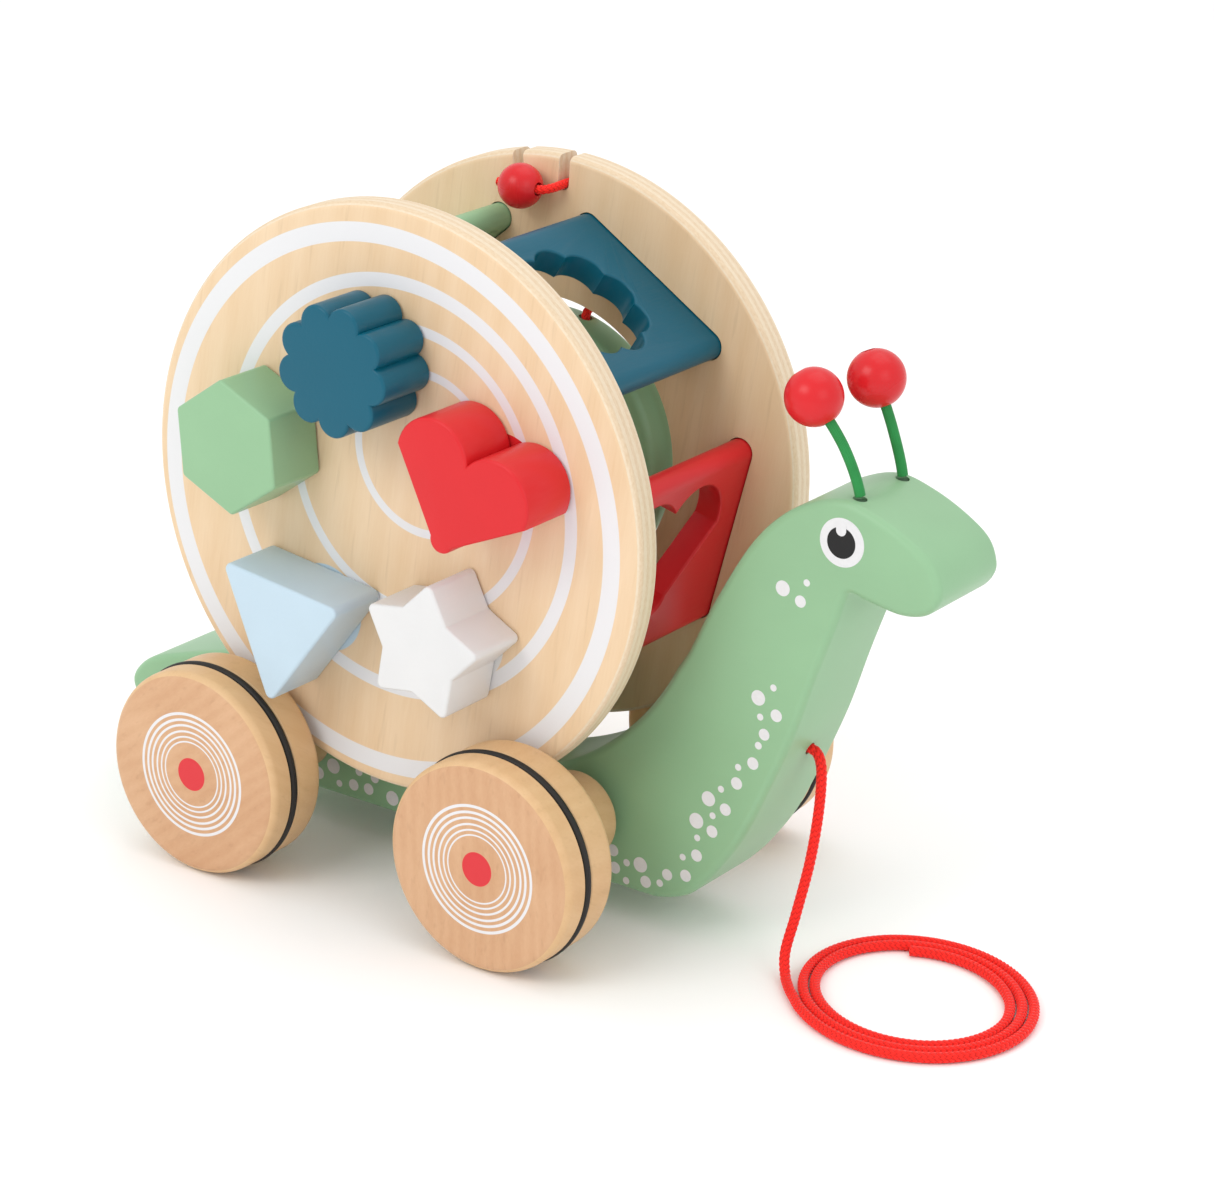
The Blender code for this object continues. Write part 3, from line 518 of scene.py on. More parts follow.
def corner_arc(before, corner, after, radius, steps):
    """Points of the round that replaces one corner of an outline."""
    a = (before - corner).normalized()
    b = (after - corner).normalized()
    half = a.angle(b) / 2
    centre = corner + (a + b).normalized() * (radius / sin(half))
    start = corner + a * (radius / tan(half)) - centre
    end = corner + b * (radius / tan(half)) - centre
    turn = start.angle(end) if start.cross(end) > 0 else -start.angle(end)
    angles = [turn * i / steps for i in range(steps + 1)]
    return [centre + Vector((start.x * cos(a) - start.y * sin(a), start.x * sin(a) + start.y * cos(a)))
            for a in angles]


def rounded_outline(corners, steps=8):
    """Outline from (x, z, corner radius) triples; radius 0 keeps the corner."""
    outline = []
    for i, (x, z, radius) in enumerate(corners):
        here = Vector((x, z))
        if radius == 0:
            outline.append(here)
            continue
        before = Vector(corners[i - 1][:2])
        after = Vector(corners[(i + 1) % len(corners)][:2])
        outline += corner_arc(before, here, after, radius, steps)
    return outline


def arc(centre_x, centre_z, radius, start, end, steps):
    angles = [start + (end - start) * i / steps for i in range(steps + 1)]
    return [Vector((centre_x + radius * cos(a), centre_z + radius * sin(a))) for a in angles]


def smooth_curve(points, steps):
    """Catmull-Rom curve through the given points, without its first and last point."""
    curve = []
    for i in range(1, len(points) - 2):
        a, b, c, d = (Vector(p) for p in points[i - 1:i + 3])
        for k in range(steps):
            t = k / steps
            curve.append(0.5 * (2 * b + (c - a) * t + (2 * a - 5 * b + 4 * c - d) * t * t
                                + (3 * b - a - 3 * c + d) * t ** 3))
    curve.append(Vector(points[-2]))
    return curve


def prism(name, outline, y0, y1, edge, materials, steps=5):
    """Board with outline in XZ (measured from ORIGIN), faces at y0 < y1 and rounded edges."""
    if signed_area(outline) < 0:
        outline = outline[::-1]
    turns = [pi / 2 * k / steps for k in range(steps + 1)] if edge else [0.0]
    levels = [(y0 + edge * (1 - cos(a)), edge * (1 - sin(a))) for a in turns]
    levels += [(y0 + y1 - y, cut) for y, cut in reversed(levels)]
    count = len(outline)
    points = []
    for y, cut in levels:
        ring = inset(outline, cut) if cut > 1e-7 else outline
        points += [(ORIGIN.x + p.x, y, ORIGIN.z + p.y) for p in ring]
    faces = [tuple(range(count))] + side_faces(len(levels), count)
    faces.append(tuple(range(len(points) - count, len(points)))[::-1])
    return mesh_piece(name, points, faces, materials)


def turned(name, profile, x, z, materials, segments=96):
    """Solid of revolution about a Y axis from a closed run of (y, radius) pairs."""
    points = []
    faces = []
    rings = []
    for y, radius in profile:
        count = segments if radius else 1
        rings.append(range(len(points), len(points) + count))
        points += [(ORIGIN.x + x + radius * cos(2 * pi * i / segments), y,
                    ORIGIN.z + z + radius * sin(2 * pi * i / segments)) for i in range(count)]
    pairs = list(zip(rings, rings[1:]))
    if profile[0][1] > 0:
        pairs.append((rings[-1], rings[0]))
    for first, second in pairs:
        for i in range(segments):
            j = (i + 1) % segments
            corners = (first[i % len(first)], first[j % len(first)],
                       second[j % len(second)], second[i % len(second)])
            unique = tuple(dict.fromkeys(corners))
            if len(unique) > 2:
                faces.append(unique)
    return mesh_piece(name, points, faces, materials)


def round_edge(corner, before, after, steps=5):
    """Quarter round between two (y, radius) points of a turned profile, about their inner corner."""
    (y0, r0), (y1, r1) = before, after
    cy = y0 if abs(y0 - corner[0]) > 1e-9 else y1
    cr = r0 if abs(r0 - corner[1]) > 1e-9 else r1
    points = []
    for k in range(steps + 1):
        a = pi / 2 * k / steps
        points.append((cy + (y0 - cy) * cos(a) + (y1 - cy) * sin(a),
                       cr + (r0 - cr) * cos(a) + (r1 - cr) * sin(a)))
    return points


def carve(target, tools):
    """Cut the tools out of the target and keep the result as its own mesh."""
    for tool in tools:
        modifier = target.modifiers.new("cut", "BOOLEAN")
        modifier.operation = "DIFFERENCE"
        modifier.solver = "EXACT"
        modifier.object = tool
    bpy.context.view_layer.update()
    graph = bpy.context.evaluated_depsgraph_get()
    data = bpy.data.meshes.new_from_object(target.evaluated_get(graph))
    target.modifiers.clear()
    old = target.data
    target.data = data
    bpy.data.meshes.remove(old)
    for tool in tools:
        bpy.data.objects.remove(tool, do_unlink=True)
    return target


def rod(name, start, end, radius, segments=32, materials=()):
    """Cylinder between two points measured from ORIGIN."""
    start = Vector(start) + ORIGIN
    end = Vector(end) + ORIGIN
    work = bmesh.new()
    bmesh.ops.create_cone(work, cap_ends=True, segments=segments, radius1=radius, radius2=radius,
                          depth=(end - start).length)
    turn = (end - start).to_track_quat("Z", "Y").to_matrix().to_4x4()
    bmesh.ops.transform(work, matrix=Matrix.Translation((start + end) / 2) @ turn, verts=work.verts)
    return from_work(name, work, materials)


def paint_faces(piece, index, test):
    """Give the faces that pass the test this material slot."""
    for face in piece.data.polygons:
        if test(face):
            face.material_index = index


# ---- flat shapes
def on_drum(radius, degrees):
    """Point in XZ at this radius and angle from the drum's centre, turned with the drum."""
    angle = radians(degrees) + DRUM_TURN
    return Vector((radius * cos(angle), DRUM_Z + radius * sin(angle)))


def place(outline, centre, turn_degrees=0.0):
    if signed_area(outline) < 0:
        outline = outline[::-1]
    turn = radians(turn_degrees)
    return [Vector((centre[0] + p.x * cos(turn) - p.y * sin(turn),
                    centre[1] + p.x * sin(turn) + p.y * cos(turn))) for p in outline]


def polygon(count, radius, corner, grow):
    step = 2 * pi / count
    radius += grow / cos(step / 2)
    return rounded_outline([(radius * cos(i * step), radius * sin(i * step), corner + grow)
                            for i in range(count)])


def hexagon(grow=0.0):
    return polygon(6, 19.6 * MM, 1.6 * MM, grow)


def triangle(grow=0.0):
    return polygon(3, 25.0 * MM, 2.0 * MM, grow)


def star(grow=0.0):
    tip, valley = Vector((20.8 * MM, 0)), Vector((cos(pi / 5), sin(pi / 5))) * 12.9 * MM
    side = tip - valley
    tip_radius = tip.length + grow / sin(side.angle(Vector((1, 0))))
    valley_radius = valley.length + grow / sin(side.angle(valley))
    corners = []
    for i in range(10):
        point = i % 2 == 0
        radius = tip_radius if point else valley_radius
        corner = 1.8 * MM + grow if point else max(0, 0.9 * MM - grow)
        angle = pi * i / 5
        corners.append((radius * cos(angle), radius * sin(angle), corner))
    return rounded_outline(corners, 6)


def flower(grow=0.0, petals=9):
    ring = 13.4 * MM
    petal = 5.4 * MM + grow
    valley = pi / petals
    open_angle = pi / 2 + valley - acos(ring * sin(valley) / petal)
    outline = []
    for i in range(petals):
        direction = 2 * pi * i / petals
        centre = Vector((ring * cos(direction), ring * sin(direction)))
        for k in range(14):
            angle = direction - open_angle + 2 * open_angle * k / 14
            outline.append(centre + Vector((cos(angle), sin(angle))) * petal)
    return outline


def heart(grow=0.0):
    """Heart with its point down; the origin is midway between notch and point."""
    lobe, spread, lift = 11.9 * MM + grow, 10.8 * MM, 8.9 * MM
    tip_round = 3.8 * MM + grow
    tip_centre = Vector((0, -10.4 * MM))
    left = Vector((-spread, lift))
    notch = sqrt(lobe ** 2 - spread ** 2)
    lean = left - tip_centre
    tangent = atan2(lean.y, lean.x) + acos((lobe - tip_round) / lean.length)
    half = arc(left.x, left.y, lobe, atan2(notch, spread), tangent, 28)
    half += arc(tip_centre.x, tip_centre.y, tip_round, tangent, 1.5 * pi, 6)
    return half + [Vector((-p.x, p.y)) for p in reversed(half[1:-1])]


# Each shape: outline, angle of its place on the drum, and its panel's angle, in degrees;
# then the block's centre (x, z) and its turn in degrees.
SHAPES = {
    "flower": (flower, 90.0, 54.0, (-4.2, 158.4), 33.0),
    "heart": (heart, 18.0, -18.0, (37.3, 128.5), -20.2),
    "star": (star, -54.0, -90.0, (26.5, 85.1), 8.5),
    "triangle": (triangle, -126.0, -162.0, (-24.0, 80.2), -97.0),
    "hexagon": (hexagon, 162.0, 126.0, (-42.1, 128.7), 35.5),
}


# ---- cords
def even_path(points, step):
    """The same line with its points at even distances."""
    line = np.array([tuple(p) for p in points])
    lengths = np.r_[0, np.cumsum(np.linalg.norm(np.diff(line, axis=0), axis=1))]
    count = max(2, int(round(lengths[-1] / step)) + 1)
    at = np.linspace(0, lengths[-1], count)
    return np.stack([np.interp(at, lengths, line[:, k]) for k in range(3)], axis=1), at


def carried_frames(path):
    """Side and up vectors along the path that don't twist about it."""
    along = np.gradient(path, axis=0)
    along /= np.linalg.norm(along, axis=1)[:, None]
    side = np.zeros_like(path)
    start = np.cross(along[0], (0.31, 0.22, 0.93))
    side[0] = start / np.linalg.norm(start)
    for i in range(1, len(path)):
        carried = side[i - 1] - along[i] * np.dot(side[i - 1], along[i])
        side[i] = carried / np.linalg.norm(carried)
    return side, np.cross(along, side), along


def knitted_cord(name, points, diameter, material, columns=6, pitch=1.6 * MM, depth=0.30, sides=42,
                 step=0.18 * MM):
    """Tube whose surface is columns of V-shaped stitches, as a knitted cord has."""
    path, at = even_path(points, step)
    side, up, along = carried_frames(path)
    around = np.arange(sides) / sides
    column = around * columns
    across = np.abs((column % 1.0) * 2 - 1)
    shift = (np.floor(column) % 2) * 0.5
    phase = at[:, None] / pitch + shift[None, :] + 0.55 * across[None, :]
    stitch = np.abs(np.cos(np.pi * phase)) ** 0.7
    groove = 1 - 0.65 * (1 - across[None, :]) ** 4 - 0.45 * across[None, :] ** 6
    relief = stitch * groove
    radius = diameter / 2 * (1 - depth + depth * relief)
    angle = 2 * np.pi * around
    ring = (side[:, None, :] * np.cos(angle)[None, :, None] + up[:, None, :] * np.sin(angle)[None, :, None])
    verts = (path[:, None, :] + ring * radius[:, :, None]).reshape(-1, 3)
    dome = [path[0] - along[0] * diameter * 0.12, path[-1] + along[-1] * diameter * 0.12]
    verts = np.vstack([verts, dome])
    low, high = len(path) * sides, len(path) * sides + 1
    last = low - sides
    faces = side_faces(len(path), sides)
    faces += [((i + 1) % sides, i, low) for i in range(sides)]
    faces += [(last + i, last + (i + 1) % sides, high) for i in range(sides)]
    data = bpy.data.meshes.new(name)
    data.from_pydata([tuple(v) for v in verts.tolist()], [], faces)
    data.shade_smooth()
    data.materials.append(material)
    # The relief is kept on the mesh, and the yarn material uses it to paint shade into the grooves.
    raised = data.attributes.new("raised", "FLOAT", "POINT")
    raised.data.foreach_set("value", np.r_[relief.ravel(), 0.6, 0.6])
    return add_object(name, data), path


CHEST_HOLE = Vector((114.2, 0, 59.0)) * MM
CHEST_INWARD = Vector((-0.93, 0, 0.36))
CHEST_HOLE_DEPTH = 22.0 * MM
COIL_CENTRE = Vector((155.7, -8.2)) * MM
CORD_ON_FLOOR = PULL_CORD / 2 + 0.12 * MM - ORIGIN.z
COIL_START = radians(-140.0)
COIL_END = radians(842.0)
COIL_RADIUS = 34.2 * MM
COIL_PITCH = 3.3 * MM
COIL_STRETCH = 1.8 * MM
COIL_LONG_AXIS = radians(-35.0)


def coil_points(count=110):
    """Two and three quarter flat turns, each lying inside the one before."""
    points = []
    for i in range(count + 1):
        angle = COIL_START + (COIL_END - COIL_START) * i / count
        turns = (angle - COIL_START) / (2 * pi)
        whole = floor(turns)
        ease = min(1.0, max(0.0, (turns - whole - 0.55) / 0.45))
        inward = whole + ease * ease * (3 - 2 * ease)
        reach = COIL_RADIUS - COIL_PITCH * inward + COIL_STRETCH * cos(2 * (angle - COIL_LONG_AXIS))
        points.append(Vector((COIL_CENTRE.x + reach * cos(angle),
                              COIL_CENTRE.y + reach * sin(angle), CORD_ON_FLOOR)))
    return points


def make_pull_cord():
    """Red knitted cord from the chest to the floor, where it lies in flat turns."""
    deep = CHEST_HOLE + CHEST_INWARD * (CHEST_HOLE_DEPTH - 2 * MM)
    hanging = [
        deep + CHEST_INWARD * 8 * MM,
        deep,
        CHEST_HOLE + CHEST_INWARD * 3 * MM,
        CHEST_HOLE - CHEST_INWARD * 3.6 * MM + Vector((0, -0.2, -0.4)) * MM,
        Vector((119.4, -1.6, 47.0)) * MM,
        Vector((119.6, -5.2, 30.0)) * MM,
        Vector((118.6, -10.0, 14.0)) * MM,
        Vector((118.9, -15.4, 4.2)) * MM,
        Vector((122.6, -20.6, CORD_ON_FLOOR / MM + 0.1)) * MM,
        Vector((127.3, -26.0, CORD_ON_FLOOR / MM)) * MM,
    ]
    coil = coil_points()
    curve = smooth_curve(hanging + coil + [coil[-1] * 2 - coil[-2]], 6)
    route = [Vector((p.x, p.y, max(p.z, CORD_ON_FLOOR))) + ORIGIN for p in curve]
    piece, path = knitted_cord("pull_cord_knit", route, PULL_CORD, yarn("red_yarn", CORD_RED, 1.2 * MM))
    hand_over(piece, "body", "red_cord", "pull_cord", "pull_cord_coil")


# ---- body
def body_outline():
    """Side view of the snail, anticlockwise from the underside of the tail."""
    chest_and_head = smooth_curve([Vector(p) * MM for p in (
        (60.0, 7.0), (74.0, 7.5), (84.0, 10.5), (90.0, 15.5), (96.0, 22.8), (103.3, 34.0), (111.0, 51.0),
        (118.0, 68.5), (123.5, 86.0), (129.2, 102.6), (131.8, 111.0), (133.6, 113.3), (139.0, 112.2),
        (148.6, 110.8), (155.7, 112.2), (159.6, 115.9), (160.6, 120.4), (157.7, 126.8), (150.0, 132.2),
        (140.0, 136.6), (130.0, 138.8), (120.0, 136.0), (110.0, 129.6), (100.8, 119.0), (90.4, 100.6),
        (82.6, 84.0), (78.0, 76.0))], 8)
    valley = arc(VALLEY_X, DRUM_Z, VALLEY_RADIUS, radians(-26.4), radians(-128.2), 70)
    tail = smooth_curve([Vector(p) * MM for p in (
        (-50.0, 44.0), (-58.4, 47.2), (-66.0, 46.6), (-78.0, 44.4), (-90.0, 41.4), (-103.0, 37.5),
        (-114.0, 33.6), (-120.4, 28.9), (-122.8, 23.6), (-119.4, 17.4), (-110.0, 10.8), (-96.0, 7.5),
        (-84.0, 7.5))], 8)
    return chest_and_head + valley + tail


ANTENNA_FOOT = Vector((132.4, 0, 138.4)) * MM
ANTENNA_SPREAD = 10.8 * MM
ANTENNA_DEPTH = 12.0 * MM


def make_body():
    paint = painted_wood("green_body_paint", GREEN)
    bare = lacquered_beech("bare_bore", (0, 0, 0.4), 0.2, 0.8)
    board = prism("snail_board", body_outline(), -BODY_HALF, BODY_HALF, BODY_EDGE, [paint], 7)
    tools = []
    for sign in (-1, 1):
        foot = ANTENNA_FOOT + Vector((0, sign * ANTENNA_SPREAD, 0))
        tools.append(rod("bore", foot - Vector((0, 0, ANTENNA_DEPTH)), foot + Vector((0, 0, 8 * MM)),
                         ANTENNA_CORD / 2 + 0.45 * MM, 32, [bare]))
    outward = CHEST_HOLE - CHEST_INWARD * 8 * MM
    tools.append(rod("bore", outward, CHEST_HOLE + CHEST_INWARD * CHEST_HOLE_DEPTH, PULL_CORD / 2 + 0.4 * MM))
    for node in ("axle_front", "axle_rear"):
        low, high = span(node)
        centre = (low + high) / 2 - ORIGIN
        reach = Vector((0, BODY_HALF * 1.3, 0))
        tools.append(rod("bore", centre - reach, centre + reach, (high.z - low.z) / 2 + 0.5 * MM, 48))
    carve(board, tools)
    board.data.materials.append(bare)
    sharpen(board)
    hand_over(board, "body", "green_paint", "body_board")


# Printed white dots on each side, as (x, z, radius) in millimetres.
CHEEK_DOTS = ((113.0, 110.4, 2.2), (118.7, 108.0, 1.7), (120.4, 113.7, 1.0))
BELLY_DOTS = (
    (111.5, 81.3, 1.0), (106.8, 77.2, 2.2), (112.8, 73.5, 1.8), (107.7, 71.8, 1.0), (109.2, 67.0, 1.7),
    (107.5, 63.3, 1.1), (106.0, 57.6, 1.8), (101.3, 55.2, 1.0), (101.0, 50.3, 1.8), (96.0, 47.2, 1.0),
    (92.0, 43.2, 2.2), (97.7, 41.5, 1.8), (93.6, 38.5, 1.0), (88.3, 35.5, 2.3), (93.6, 33.7, 1.8),
    (88.8, 30.4, 1.0), (88.8, 25.0, 1.8), (84.2, 23.2, 1.0), (85.4, 17.8, 1.8), (79.2, 16.3, 1.7),
    (76.8, 13.0, 1.1), (72.0, 12.0, 1.8), (70.0, 16.7, 2.3), (65.3, 16.0, 1.1), (65.3, 10.4, 1.1),
    (61.3, 13.3, 1.8), (60.5, 18.5, 1.8),
)
TAIL_DOTS = (
    (-19.3, 12.4, 2.3), (-28.3, 12.9, 1.8), (-34.0, 12.7, 1.8), (-39.5, 11.7, 1.1), (-41.8, 16.7, 2.4),
    (-32.0, 17.5, 1.3), (-26.0, 17.0, 1.5), (-47.5, 13.0, 2.0),
)
EYE = (130.6, 127.4)
EYE_RADIUS = 6.8
PUPIL_RADIUS = 4.35
INK = 0.05 * MM


def circle(x, z, radius, count=40):
    return [p * MM for p in arc(x, z, radius, 0, 2 * pi, count)[:-1]]


def capsule(x, z0, z1, radius, count=16):
    low = arc(x, z0, radius, pi, 2 * pi, count)
    return [p * MM for p in low + arc(x, z1, radius, 0, pi, count)]


def ink_piece(name, outlines, sign, lift, material):
    """Printed shapes on one side of the board, as thin films that stand just proud of it."""
    points = []
    faces = []
    inner = sign * (BODY_HALF - INK)
    outer = sign * (BODY_HALF + lift)
    for outline in outlines:
        base = len(points)
        count = len(outline)
        points += [(ORIGIN.x + p.x, inner, ORIGIN.z + p.y) for p in outline]
        points += [(ORIGIN.x + p.x, outer, ORIGIN.z + p.y) for p in outline]
        faces.append(tuple(range(base, base + count)))
        faces.append(tuple(range(base + count, base + 2 * count))[::-1])
        faces += side_faces(2, count, base)
    hand_over(mesh_piece(name, points, faces, [material], smooth=False), "body", "green_paint")


def make_prints():
    white = print_ink("white_ink", PRINT_WHITE)
    black = print_ink("black_ink", BLACK)
    dots = [circle(*dot) for dot in CHEEK_DOTS + BELLY_DOTS + TAIL_DOTS]
    for side, sign in (("near", -1), ("far", 1)):
        ink_piece("printed_dots_" + side, dots, sign, INK, white)
        ink_piece("eye_white_" + side, [circle(*EYE, EYE_RADIUS, 72)], sign, INK, white)
        pupil = circle(EYE[0] - 0.2, EYE[1] - 0.1, PUPIL_RADIUS, 64)
        ink_piece("eye_pupil_" + side, [pupil], sign, INK * 1.8, black)
        glint = capsule(EYE[0] - 0.4, EYE[1] + 3.3, EYE[1] + 4.4, 1.55)
        ink_piece("eye_glint_" + side, [glint], sign, INK * 2.6, white)


# ---- wheels
def make_wheels():
    black = rubber()
    spin = 0.0
    for end in ("front", "rear"):
        low, high = span("axle_" + end)
        x = (low.x + high.x) / 2 - ORIGIN.x
        for side, sign in (("near", -1), ("far", 1)):
            spin += 1.0
            tag = "%s_%s" % (end, side)
            make_wheel(end, tag, sign, x, spin, black)
            make_hub(end, tag, sign, x, spin)
        repaint("axle_" + end, lacquered_beech("dowel_" + end, (0, 0, pi / 2), spin))


def make_wheel(end, tag, sign, x, spin, black):
    low, high = span("wheel_" + tag)
    face = max(abs(low.y), abs(high.y))
    back = min(abs(low.y), abs(high.y))
    radius = (high.z - low.z) / 2
    tyre_low, tyre_high = span("tyre_" + tag)
    tyre_y = (abs(tyre_low.y) + abs(tyre_high.y)) / 2
    tyre_half = abs(tyre_high.y - tyre_low.y) / 2
    tyre_radius = (tyre_high.z - tyre_low.z) / 2
    front, rear = 3.0 * MM, 3.2 * MM
    groove = tyre_radius - 2 * tyre_half - 0.3 * MM
    lip = tyre_half + 0.3 * MM
    profile = [(face, 0), (face, radius - front)]
    profile += round_edge((face, radius), (face, radius - front), (face - front, radius), 8)[1:]
    profile += [(tyre_y + lip + 0.3 * MM, radius), (tyre_y + lip, radius - 0.3 * MM), (tyre_y + lip, groove),
                (tyre_y - lip, groove), (tyre_y - lip, radius - 0.3 * MM), (tyre_y - lip - 0.3 * MM, radius)]
    profile += round_edge((back, radius), (back + rear, radius), (back, radius - rear), 6)
    profile += [(back, WHEEL_BORE), (face - 8 * MM, WHEEL_BORE), (face - 8 * MM, 0)]
    tilt = (0.0, 0.5 + spin * 1.1, 0.35)
    rim = lacquered_beech("wheel_rim_" + tag, (0.2 * spin, spin, 1.2), spin, 1.02, 0.7)
    printed = printed_wheel_face("wheel_face_" + tag, x, AXLE_Z, tilt, spin * 0.37)
    sided = [(sign * y, r) for y, r in profile]
    wheel = turned("turned_wheel_" + tag, sided, x, AXLE_Z, [rim, printed], 128)
    paint_faces(wheel, 1, lambda f: abs(f.center.y) > face - 0.6 * MM)
    sharpen(wheel, 40)
    hand_over(wheel, end + "_axle", "beech", "wheel_" + tag)
    ring = [(sign * (tyre_y + tyre_half * cos(2 * pi * k / 20)),
             tyre_radius - tyre_half + tyre_half * sin(2 * pi * k / 20)) for k in range(20)]
    band = turned("rubber_ring_" + tag, ring, x, AXLE_Z, [black], 128)
    hand_over(band, end + "_axle", "black_rubber", "tyre_" + tag)


def make_hub(end, tag, sign, x, spin):
    low, high = span("hub_" + tag)
    outer = max(abs(low.y), abs(high.y))
    inner = min(abs(low.y), abs(high.y))
    collar = (high.z - low.z) / 2
    spacer = 13.1 * MM
    step = 32.6 * MM
    edge = 1.8 * MM
    profile = [(outer, WHEEL_BORE), (outer, collar), (step + 0.6 * MM, collar), (step, collar - 0.6 * MM),
               (step, spacer)]
    profile += round_edge((inner, spacer), (inner + edge, spacer), (inner, spacer - edge), 6)
    profile += [(inner, WHEEL_BORE)]
    wood = lacquered_beech("hub_wood_" + tag, (0.3 * spin, spin * 0.7, 1.4), spin + 0.5, 0.97, 0.8)
    hub = turned("turned_hub_" + tag, [(sign * y, r) for y, r in profile], x, AXLE_Z, [wood])
    sharpen(hub, 40)
    hand_over(hub, end + "_axle", "beech", "hub_" + tag)


# ---- shell
def panel_axes(degrees):
    angle = radians(degrees) + DRUM_TURN
    return Vector((cos(angle), sin(angle))), Vector((sin(angle), -cos(angle)))


def panel_end(degrees, grow):
    """Cross-section of one panel in XZ, grown for its slot."""
    normal, tangent = panel_axes(degrees)
    centre = Vector((0, DRUM_Z)) + normal * (PANEL_APOTHEM - PANEL_THICKNESS / 2)
    half_w = PANEL_WIDTH / 2 + grow
    half_t = PANEL_THICKNESS / 2 + grow
    corners = []
    for a, b in ((-1, -1), (1, -1), (1, 1), (-1, 1)):
        p = centre + tangent * (a * half_w) + normal * (b * half_t)
        corners.append((p.x, p.y, PANEL_EDGE + grow))
    return rounded_outline(corners, 8)


def hole_cutter(shape, turn, degrees):
    """Solid that cuts a shape, eased for its block, through one panel and rounds both rims of the hole."""
    normal, tangent = panel_axes(degrees)
    rim = HOLE_RIM
    outer = PANEL_APOTHEM
    inner = PANEL_APOTHEM - PANEL_THICKNESS
    turns = [pi / 2 * k / 4 for k in range(5)]
    levels = [(inner - 1.0 * MM, rim)]
    levels += [(inner + rim * (1 - sin(a)), rim * (1 - cos(a))) for a in reversed(turns)]
    levels += [(outer - rim * (1 - sin(a)), rim * (1 - cos(a))) for a in turns]
    levels += [(outer + 1.0 * MM, rim)]
    points = []
    for level, grow in levels:
        outline = place(shape(HOLE_EASE + grow), (0, 0), turn)
        for p in outline:
            flat = Vector((0, DRUM_Z)) + normal * level - tangent * p.y
            points.append((ORIGIN.x + flat.x, p.x, ORIGIN.z + flat.y))
    count = len(outline)
    faces = [tuple(range(count)), tuple(range(len(points) - count, len(points)))[::-1]]
    return mesh_piece("hole", points, faces + side_faces(len(levels), count), [])


def make_panels():
    reach = DISC_INNER_Y + SLOT_DEPTH - 0.3 * MM
    for name, (shape, _, degrees, _, _) in SHAPES.items():
        paint = painted_wood(name + "_panel_paint", PAINTS[name], (0, 1, 0), 0.34, 0.7)
        panel = prism("shaped_panel_" + name, panel_end(degrees, 0), -reach, reach, 0, [paint])
        turn = 0.0 if name in ("heart", "flower") else 90.0
        carve(panel, [hole_cutter(shape, turn, degrees)])
        sharpen(panel, 30)
        hand_over(panel, "shell", name + "_paint", "panel_" + name)


RIM_SLOT_WIDTH = 3.8 * MM
RIM_SLOT_BOTTOM = 75.0 * MM
RIM_SLOT_ANGLE = radians(5.7)
LID_OPENING = 43.2 * MM


def rim_slot(sign):
    angle = pi / 2 + DRUM_TURN + sign * RIM_SLOT_ANGLE
    out = Vector((cos(angle), sin(angle)))
    across = Vector((-out.y, out.x)) * (RIM_SLOT_WIDTH / 2)
    bottom = Vector((0, DRUM_Z)) + out * (RIM_SLOT_BOTTOM + RIM_SLOT_WIDTH / 2)
    top = Vector((0, DRUM_Z)) + out * (DISC_RADIUS + 5 * MM)
    outline = [top - across, top + across]
    outline += arc(bottom.x, bottom.y, RIM_SLOT_WIDTH / 2, angle + pi / 2, angle + 1.5 * pi, 16)
    return prism("slot", outline, DISC_INNER_Y - 3 * MM, DISC_OUTER_Y + 3 * MM, 0, [])


def make_disc(side, sign, materials, extra):
    outline = arc(0, DRUM_Z, DISC_RADIUS, 0, 2 * pi, 240)[:-1]
    low, high = sorted((sign * DISC_INNER_Y, sign * DISC_OUTER_Y))
    disc = prism("plywood_disc_" + side, outline, low, high, DISC_EDGE, materials, 7)
    tools = list(extra)
    floor = sign * (DISC_INNER_Y + SLOT_DEPTH)
    mouth = sign * (DISC_INNER_Y - 3 * MM)
    for entry in SHAPES.values():
        tools.append(prism("slot", panel_end(entry[2], SLOT_EASE), *sorted((floor, mouth)), 0, []))
    carve(disc, tools)
    outer_face = DISC_OUTER_Y - 0.3 * MM
    inner_face = DISC_INNER_Y + 0.3 * MM
    paint_faces(disc, 1, lambda f: inner_face < abs(f.center.y) < outer_face)
    paint_faces(disc, 2, lambda f: abs(f.center.y) <= inner_face)
    sharpen(disc, 30)
    hand_over(disc, "shell", "plywood", "shell_disc_" + side)


def make_discs():
    rim = plywood_rim("plywood_rim")
    plain = plywood("plywood_plain", False)
    make_disc("near", -1, [plywood("plywood_printed", True), rim, plain], [])
    reach = Vector((0, 8 * MM, 0))
    centre = Vector((0, 0, DRUM_Z))
    opening = rod("opening", centre + Vector((0, DISC_INNER_Y, 0)) - reach,
                  centre + Vector((0, DISC_OUTER_Y, 0)) + reach, LID_OPENING, 192)
    make_disc("far", 1, [plain, rim, plain], [opening, rim_slot(1), rim_slot(-1)])


def make_blocks():
    for name, (shape, _, _, centre, turn) in SHAPES.items():
        low, high = span("block_" + name)
        paint = painted_wood(name + "_block_paint", PAINTS[name], (0, 1, 0), 0.33, 0.8)
        outline = place(shape(), Vector(centre) * MM, turn)
        block = prism("rounded_block_" + name, outline, low.y, high.y, BLOCK_EDGE, [paint], 5)
        x, z = Vector(centre) * MM
        carve(block, [rod("pocket", (x, high.y + 2 * MM, z), (x, high.y - POCKET_DEPTH, z), POCKET_RADIUS)])
        sharpen(block, 30)
        hand_over(block, name + "_block", name + "_paint", "block_" + name)


